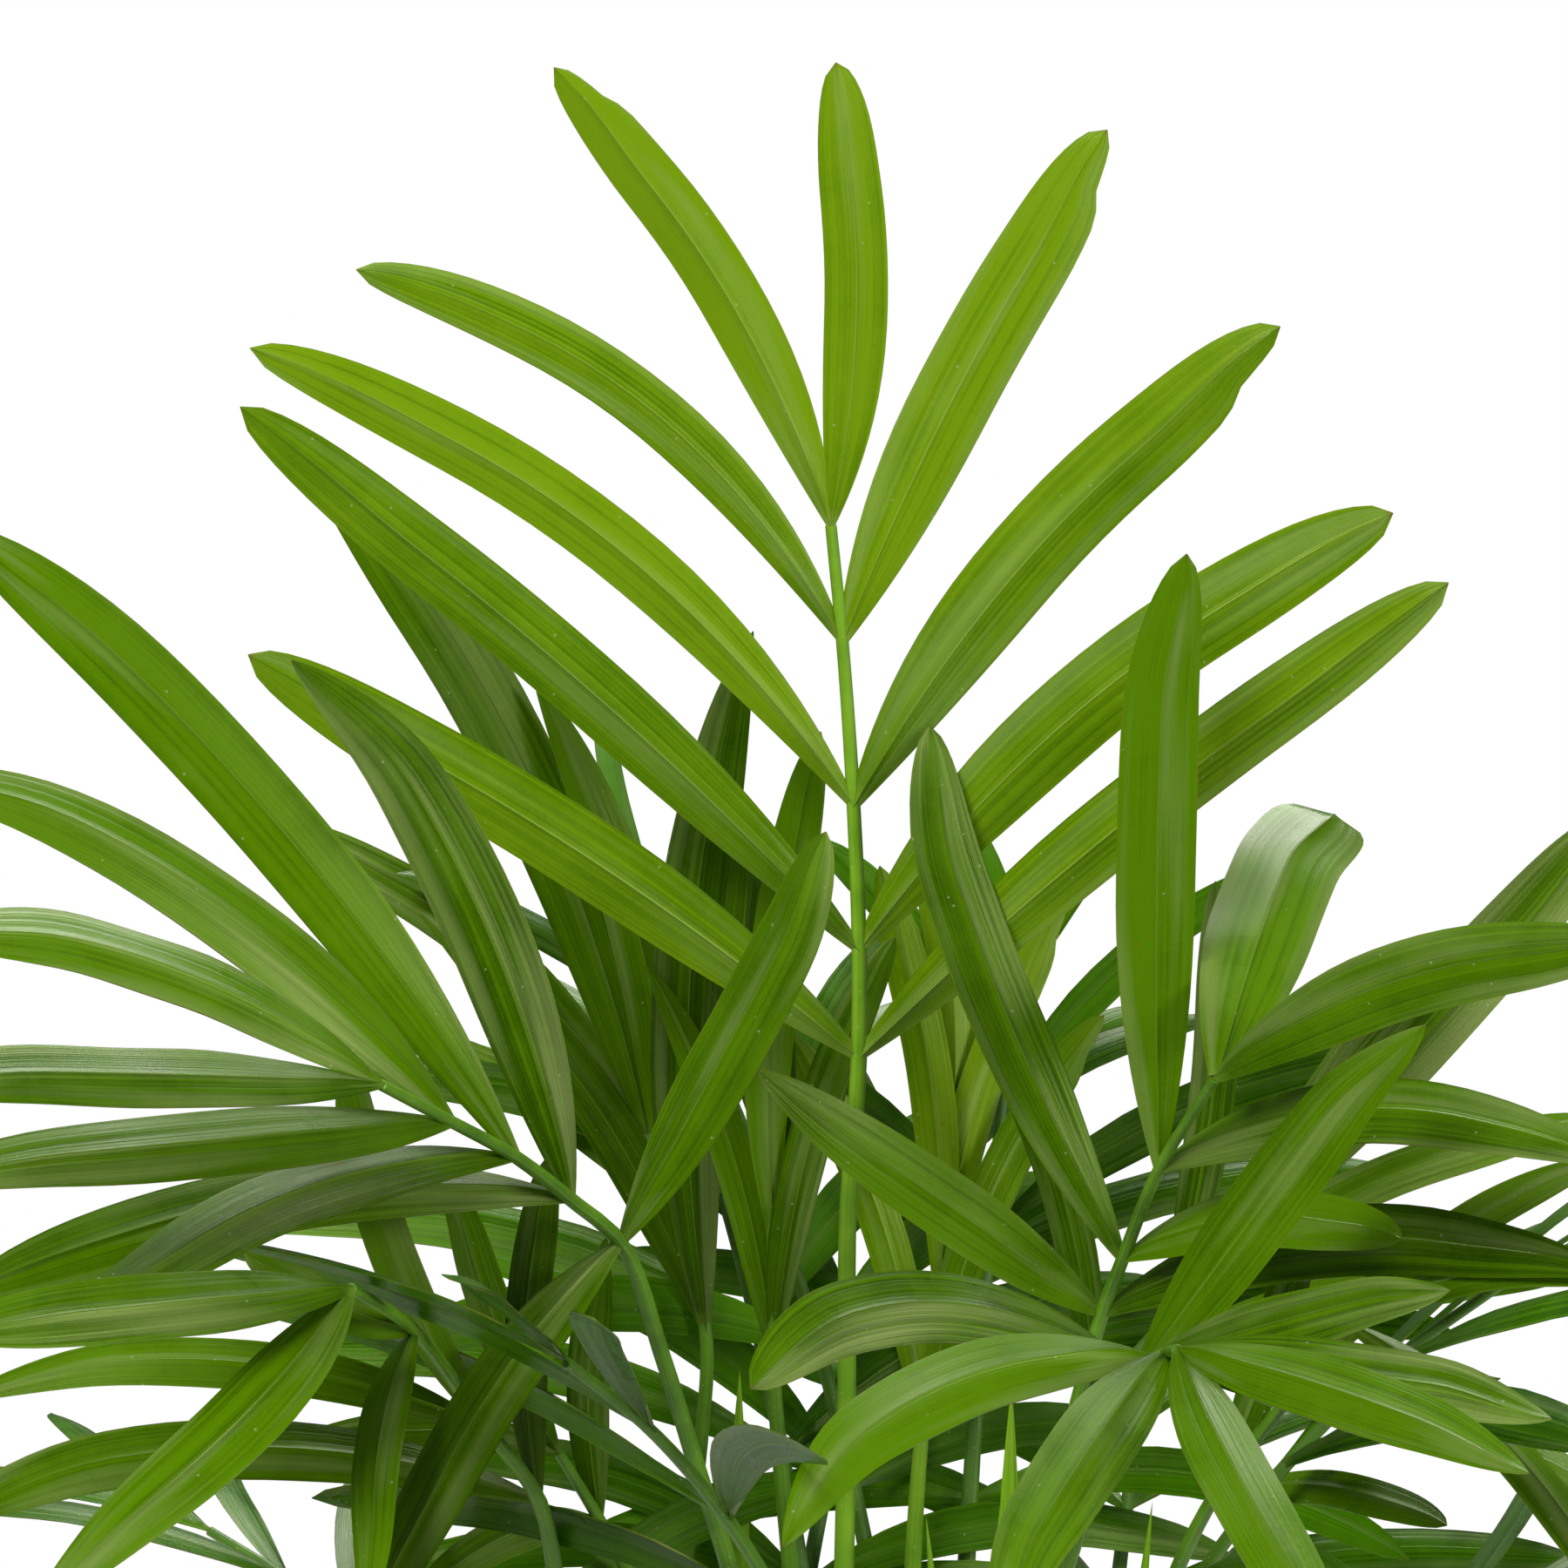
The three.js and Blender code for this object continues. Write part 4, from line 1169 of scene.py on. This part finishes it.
@dataclass
class Pot:
    """The terracotta pot: thrown round, with a rolled rim band and drain holes."""

    finish: bpy.types.Material
    steps: int = 96
    wall: float = 5 * MM
    floor: float = 7 * MM
    band: float = 26 * MM  # height of the rim band
    step: float = 3.5 * MM  # how far the band stands out
    foot: float = 53 * MM
    hole: float = 5.5 * MM
    hole_circle: float = 30 * MM
    holes: int = 3

    def __post_init__(self) -> None:
        """Reads the pot's height and rim from the frame."""
        low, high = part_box("pot")
        self.height = high.z
        self.rim = (high.x - low.x) / 2

    def outer(self, height: float) -> float:
        """The wall's outer radius at a height, without the band."""
        return rise(self.foot, self.rim - self.step, height / self.height)

    def profile(self) -> list[tuple[float, float]]:
        """The outline of the wall, from the middle underneath round to the middle inside."""
        top, under = self.height, self.height - self.band
        inner = self.rim - self.step - self.wall
        outside = [
            (0.0, 1.2 * MM), (self.foot - 9 * MM, 1.2 * MM), (self.foot - 7 * MM, 0.0),
            (self.foot - 2.2 * MM, 0.0), (self.foot - 0.4 * MM, 0.9 * MM),
            (self.outer(3 * MM), 3 * MM), (self.outer(30 * MM), 30 * MM),
            (self.outer(62 * MM), 62 * MM), (self.outer(under - 5 * MM), under - 5 * MM),
            (self.outer(under) - 0.2 * MM, under - 1.2 * MM),
            (self.outer(under) + 0.6 * MM, under - 0.2 * MM),
            (self.rim - 1.9 * MM, under), (self.rim - 0.5 * MM, under + 1.4 * MM),
            (self.rim - 0.2 * MM, under + 5 * MM), (self.rim - 0.6 * MM, under + 12 * MM),
            (self.rim - 0.1 * MM, top - 5 * MM), (self.rim, top - 2.6 * MM),
            (self.rim - 0.9 * MM, top - 0.7 * MM), (self.rim - 2.6 * MM, top),
        ]
        inside = [
            (inner + 1.6 * MM, top), (inner + 0.4 * MM, top - 0.8 * MM),
            (inner - 0.1 * MM, top - 3 * MM), (self.outer(60 * MM) - self.wall, 60 * MM),
            (self.outer(self.floor + 5 * MM) - self.wall, self.floor + 5 * MM),
            (self.outer(self.floor) - self.wall - 4 * MM, self.floor), (0.0, self.floor),
        ]
        return outside + inside

    def build(self) -> None:
        """Makes the pot."""
        deselect()
        points = self.profile()
        bpy.ops.mesh.primitive_plane_add(size=2 * MM, location=(0, 0, 0))
        obj = bpy.context.object
        bpy.ops.object.mode_set(mode="EDIT")
        bpy.ops.mesh.select_all(action="SELECT")
        bpy.ops.mesh.merge(type="CENTER")
        bpy.ops.transform.translate(value=(points[0][0], 0, points[0][1]))
        for here, there in zip(points, points[1:]):
            step = (there[0] - here[0], 0, there[1] - here[1])
            bpy.ops.mesh.extrude_region_move(TRANSFORM_OT_translate={"value": step})
        bpy.ops.mesh.select_all(action="SELECT")
        bpy.ops.mesh.spin(
            steps=self.steps, angle=math.tau, center=(0, 0, 0), axis=(0, 0, 1))
        bpy.ops.mesh.select_all(action="SELECT")
        bpy.ops.mesh.remove_doubles(threshold=0.01 * MM)
        bpy.ops.mesh.normals_make_consistent(inside=False)
        bpy.ops.object.mode_set(mode="OBJECT")
        for index in range(self.holes):
            self.bore(obj, math.tau * index / self.holes + math.pi / 6)
        smoothed(obj, 50)
        dress(obj, self.finish)
        obj.name = obj.data.name = "pot_thrown"
        finished(obj, "terracotta", "pot")

    def bore(self, obj: bpy.types.Object, turn: float) -> None:
        """Cuts one drain hole through the floor."""
        deselect()
        spot = (self.hole_circle * math.cos(turn), self.hole_circle * math.sin(turn), 0.0)
        bpy.ops.mesh.primitive_cylinder_add(
            vertices=32, radius=self.hole, depth=6 * self.floor, location=spot)
        drill = bpy.context.object
        cut = obj.modifiers.new("drain", "BOOLEAN")
        cut.operation = "DIFFERENCE"
        cut.solver = "EXACT"
        cut.object = drill
        apply_modifiers(obj)
        bpy.data.objects.remove(drill)


@dataclass
class Grains:
    """One kind of loose grain on the soil."""

    name: str
    count: int
    size: tuple[float, float]
    flat: float  # its height as a share of its length
    slim: float  # and its breadth
    finish: GrainFinish


@dataclass
class Soil:
    """The potting mix: an uneven bed, with crumbs, bark and perlite on it."""

    finish: bpy.types.Material
    canes: dict[str, Course]
    rings: int = 26
    steps: int = 72
    seed: int = 5
    lump: float = 1.5 * MM
    cane_foot: float = 0.24  # share of a cane's length that is near the bed's surface
    cane_room: float = 4.5 * MM  # how far a grain stays from a cane's middle, plus its half
    strewn: float = 0.96  # share of the bed's radius that grains are strewn over
    dent: float = 0.3  # how uneven a grain is
    tilt: float = 0.4  # the steepest slope that a grain lies at
    proud: float = 0.3  # how far a grain's middle is over the bed, in its half heights

    # the bed's lumps, coarse and fine: their size, a layer of the noise and their strength
    LUMPS = ((9 * MM, 0.0, 0.7), (3.5 * MM, 0.5, 0.4))

    KINDS = (
        Grains("soil_crumbs", 420, (1.6 * MM, 4.2 * MM), 0.7, 0.85,
               GrainFinish("peat_crumbs", "17100b", "45301f", 0.9)),
        Grains("soil_bark", 120, (5 * MM, 12 * MM), 0.3, 0.5,
               GrainFinish("bark_chips", "2a1a10", "7a5335", 1.6)),
        Grains("soil_perlite", 90, (1.6 * MM, 3.6 * MM), 0.8, 0.9,
               GrainFinish("perlite", "c9c4b8", "f2efe6", 1.2, 0.85)),
    )

    def __post_init__(self) -> None:
        """Reads the bed's size from the frame."""
        low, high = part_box("soil")
        self.low, self.top = low.z, high.z
        corners = Skeleton("soil").places
        wide = np.hypot(corners[:, 0], corners[:, 1])
        self.radius = float(wide.max())
        self.edge = float(corners[np.argmax(wide), 2])

    def height(self, x: float, y: float) -> float:
        """The bed's height at a spot: crowned, and lumpy but for its very edge."""
        share = min(math.hypot(x, y) / self.radius, 1.0)
        crown = (self.top - self.edge) * (1 - share**2)
        lumps = sum(noise.noise(Vector((x, y, layer)) / size) * strength
                    for size, layer, strength in self.LUMPS)
        return self.edge + crown + self.lump * (lumps - 0.55) * (1 - share**12)

    def build(self) -> None:
        """Makes the bed and its grains."""
        deselect()
        bpy.ops.mesh.primitive_circle_add(
            vertices=self.steps, radius=self.radius, fill_type="TRIFAN",
            location=(0, 0, self.edge))
        obj = bpy.context.object
        bpy.ops.object.transform_apply(location=True, rotation=False, scale=False)
        bpy.ops.object.mode_set(mode="EDIT")
        bpy.ops.mesh.select_all(action="SELECT")
        bpy.ops.mesh.subdivide(number_cuts=self.rings // 2)
        bpy.ops.mesh.select_all(action="DESELECT")
        mesh = bmesh.from_edit_mesh(obj.data)
        for edge in mesh.edges:
            edge.select = edge.is_boundary
        bmesh.update_edit_mesh(obj.data)
        bpy.ops.mesh.extrude_region_move(
            TRANSFORM_OT_translate={"value": (0, 0, self.low - self.edge)})
        narrow = self.foot_share()
        bpy.ops.transform.resize(
            value=(narrow, narrow, 1), center_override=(0, 0, self.low))
        bpy.ops.mesh.edge_face_add()
        bpy.ops.mesh.select_all(action="SELECT")
        bpy.ops.mesh.normals_make_consistent(inside=False)
        bpy.ops.object.mode_set(mode="OBJECT")
        for corner in obj.data.vertices:
            if corner.co.z > (self.low + self.edge) / 2:
                corner.co.z = self.height(corner.co.x, corner.co.y)
        smoothed(obj, 60)
        dress(obj, self.finish)
        obj.name = obj.data.name = "soil_bed"
        finished(obj, "potting_mix", "soil")
        chance = random.Random(self.seed)
        for kind in self.KINDS:
            self.scatter(kind, chance)

    def foot_share(self) -> float:
        """How wide the bed's bottom is, as a share of its top."""
        corners = Skeleton("soil").places
        bottom = corners[corners[:, 2] < self.low + 1 * MM]
        return float(np.hypot(bottom[:, 0], bottom[:, 1]).max()) / self.radius

    def scatter(self, kind: Grains, chance: random.Random) -> None:
        """Strews one kind of grain over the bed, clear of the canes."""
        deselect()
        bpy.ops.mesh.primitive_ico_sphere_add(subdivisions=1, radius=1)
        pattern = bpy.context.object
        shape = corners_of(pattern.data)
        feet = [course.at(course.centres, self.cane_foot) for course in self.canes.values()]
        grains = []
        for _ in range(kind.count):
            reach = self.radius * self.strewn * math.sqrt(chance.random())
            turn = chance.uniform(0, math.tau)
            x, y = reach * math.cos(turn), reach * math.sin(turn)
            half = chance.uniform(*kind.size) / 2
            around = chance.uniform(0, math.tau)
            lean = chance.uniform(-self.tilt, self.tilt)
            dents = 1 + self.dent * np.array([chance.uniform(-1, 1) for _ in shape])
            leaf = chance.random()
            if min(math.hypot(x - f[0], y - f[1]) for f in feet) < self.cane_room + half:
                continue
            if reach + half > self.radius:
                continue
            body = shape * dents[:, None] * half * np.array((1.0, kind.slim, kind.flat))
            body[:, 2] += body[:, 0] * lean
            c, s = math.cos(around), math.sin(around)
            spun = body @ np.array(((c, s, 0), (-s, c, 0), (0, 0, 1.0)))
            spot = np.array((x, y, self.height(x, y) + self.proud * half * kind.flat))
            mesh = pattern.data.copy()
            mesh.vertices.foreach_set("co", (spun + spot).ravel())
            carry(mesh, "leaf", np.full(len(mesh.vertices), leaf))
            grains.append(added(kind.name, mesh))
        bpy.data.objects.remove(pattern)
        piece = joined(grains, kind.name)
        dress(piece, kind.finish.make())
        finished(piece, "potting_mix")


# ---------------------------------------------------------------- studio


@dataclass
class Studio:
    """A pale floor, soft light all round, and the camera."""

    aim: tuple[float, float, float] = (-11 * MM, 0.0, 396 * MM)
    distance: float = 1.0
    elevation: float = math.radians(8)
    lens: float = 133.3
    sensor: float = 36.0  # width, in the millimetres of the lens
    sight: float = 60.0  # how far the camera sees, in metres
    floor_reach: float = 1.0
    fade: tuple[float, float] = (0.42, 0.85)  # where the floor starts to fade, and has faded
    surround: float = 0.17

    def build(self) -> None:
        """Sets up the floor, the lights and the camera."""
        self.lay_floor()
        self.light_up()
        camera = bpy.data.cameras.new("camera")
        camera.lens = self.lens
        camera.sensor_width = self.sensor
        camera.clip_end = self.sight
        eye = added("camera", camera)
        aim = Vector(self.aim)
        back = Vector((0, -math.cos(self.elevation), math.sin(self.elevation)))
        eye.location = aim + back * self.distance
        eye.rotation_euler = back.to_track_quat("Z", "Y").to_euler()
        bpy.context.scene.camera = eye

    def lay_floor(self) -> None:
        """Lays a round matt off-white sheet under the pot, which fades out into the surround."""
        deselect()
        bpy.ops.mesh.primitive_circle_add(
            vertices=96, radius=self.floor_reach, fill_type="NGON", location=(0, 0, 0))
        floor = bpy.context.object
        floor.name = floor.data.name = "studio_floor"
        paper = Recipe("studio_paper")
        fibres = paper.relief(paper.noise(5), 0.2, 0.05)
        sheet = paper.body(Base_Color=linear("f7f6f4"), Roughness=0.9, Normal=fibres)
        clear = add(paper.tree, "BsdfTransparent").outputs[0]
        reach = add(paper.tree, "VectorMath", {0: paper.where}, operation="LENGTH")
        edge = paper.ramp(reach.outputs["Value"], *self.fade)
        fading = add(paper.tree, "MixShader", {0: edge, 1: sheet, 2: clear}).outputs[0]
        floor.data.materials.append(paper.done(fading))

    def light_up(self) -> None:
        """Hangs soft boxes in a surround that is white to the camera and dimmer to the palm."""
        world = bpy.data.worlds.new("white_surround")
        world.use_nodes = True
        tree = world.node_tree
        tree.nodes.clear()
        seen = add(tree, "LightPath").outputs["Is Camera Ray"]
        level = add(tree, "MapRange", {"Value": seen, "To Min": self.surround, "To Max": 1.0})
        sky = add(tree, "Background", {"Color": linear("ffffff"), "Strength": level.outputs[0]})
        add(tree, "OutputWorld", {"Surface": sky.outputs[0]})
        bpy.context.scene.world = world
        boxes = (
            ("key_light", (-0.7, -1.4, 1.6), 0.8, 44.0),
            ("back_light", (0.3, 1.2, 1.6), 0.9, 26.0),
            ("side_light", (1.5, -0.8, 0.9), 0.6, 18.0),
        )
        for name, place, size, power in boxes:
            light = bpy.data.lights.new(name, "AREA")
            light.size = size
            light.energy = power
            lamp = added(name, light)
            lamp.location = place
            towards = Vector(place) - Vector(self.aim)
            lamp.rotation_euler = towards.to_track_quat("Z", "Y").to_euler()
        bpy.context.scene.view_settings.view_transform = "Standard"


# ---------------------------------------------------------------- the palm


def main() -> None:
    """Builds the palm, its pot and the studio, and notes their sizes."""
    logging.basicConfig(level=logging.INFO, format="%(name)s: %(message)s")
    Studio().build()
    Pot(TerracottaFinish().make()).build()

    cane_mould = CaneMould().build()
    canes = Canes(
        cane_mould, StalkFinish("cane_skin", "385c10", "648a2a", "94885a").make()
    ).build()
    cane_mould.discard()
    Soil(GrainFinish("potting_mix", "150e09", "3c2a1c", 1.4).make(), canes).build()

    Spears(LeafFinish("furled_leaf", "4f8808", "86b428", "a0c050", "a0d624").make()).build()

    rounded = {"taper": 3.8, "bluntness": 0.55}
    patterns = {
        Greens.YOUNG: (BladeMould(**rounded), BladeMould(notch=0.3, **rounded)),
        Greens.GROWN: (BladeMould(), BladeMould(widest=(0.4, 0.43), taper=2.5, bluntness=0.78)),
        Greens.SHADED: (BladeMould(rows=16, columns=(-1.0, -0.5, 0.0, 0.5, 1.0)),),
    }
    blades = {greens: [blade.build() for blade in row] for greens, row in patterns.items()}
    blunt = BladeMould(widest=(0.5, 0.62), taper=9.0, bluntness=0.45).build()
    stalk, sheath = StalkMould().build(), SheathMould().build()
    finishes = {greens: tuple(side.make() for side in greens.value) for greens in Greens}
    Crown(
        blades, blunt, stalk, sheath, finishes,
        StalkFinish("sheath_skin", "4a6a20", "75903c", "86703f", skin=0.55).make(),
    ).build(canes)
    for mould in (*sum(blades.values(), []), blunt, stalk, sheath):
        mould.discard()


if __name__ == "__main__":
    main()
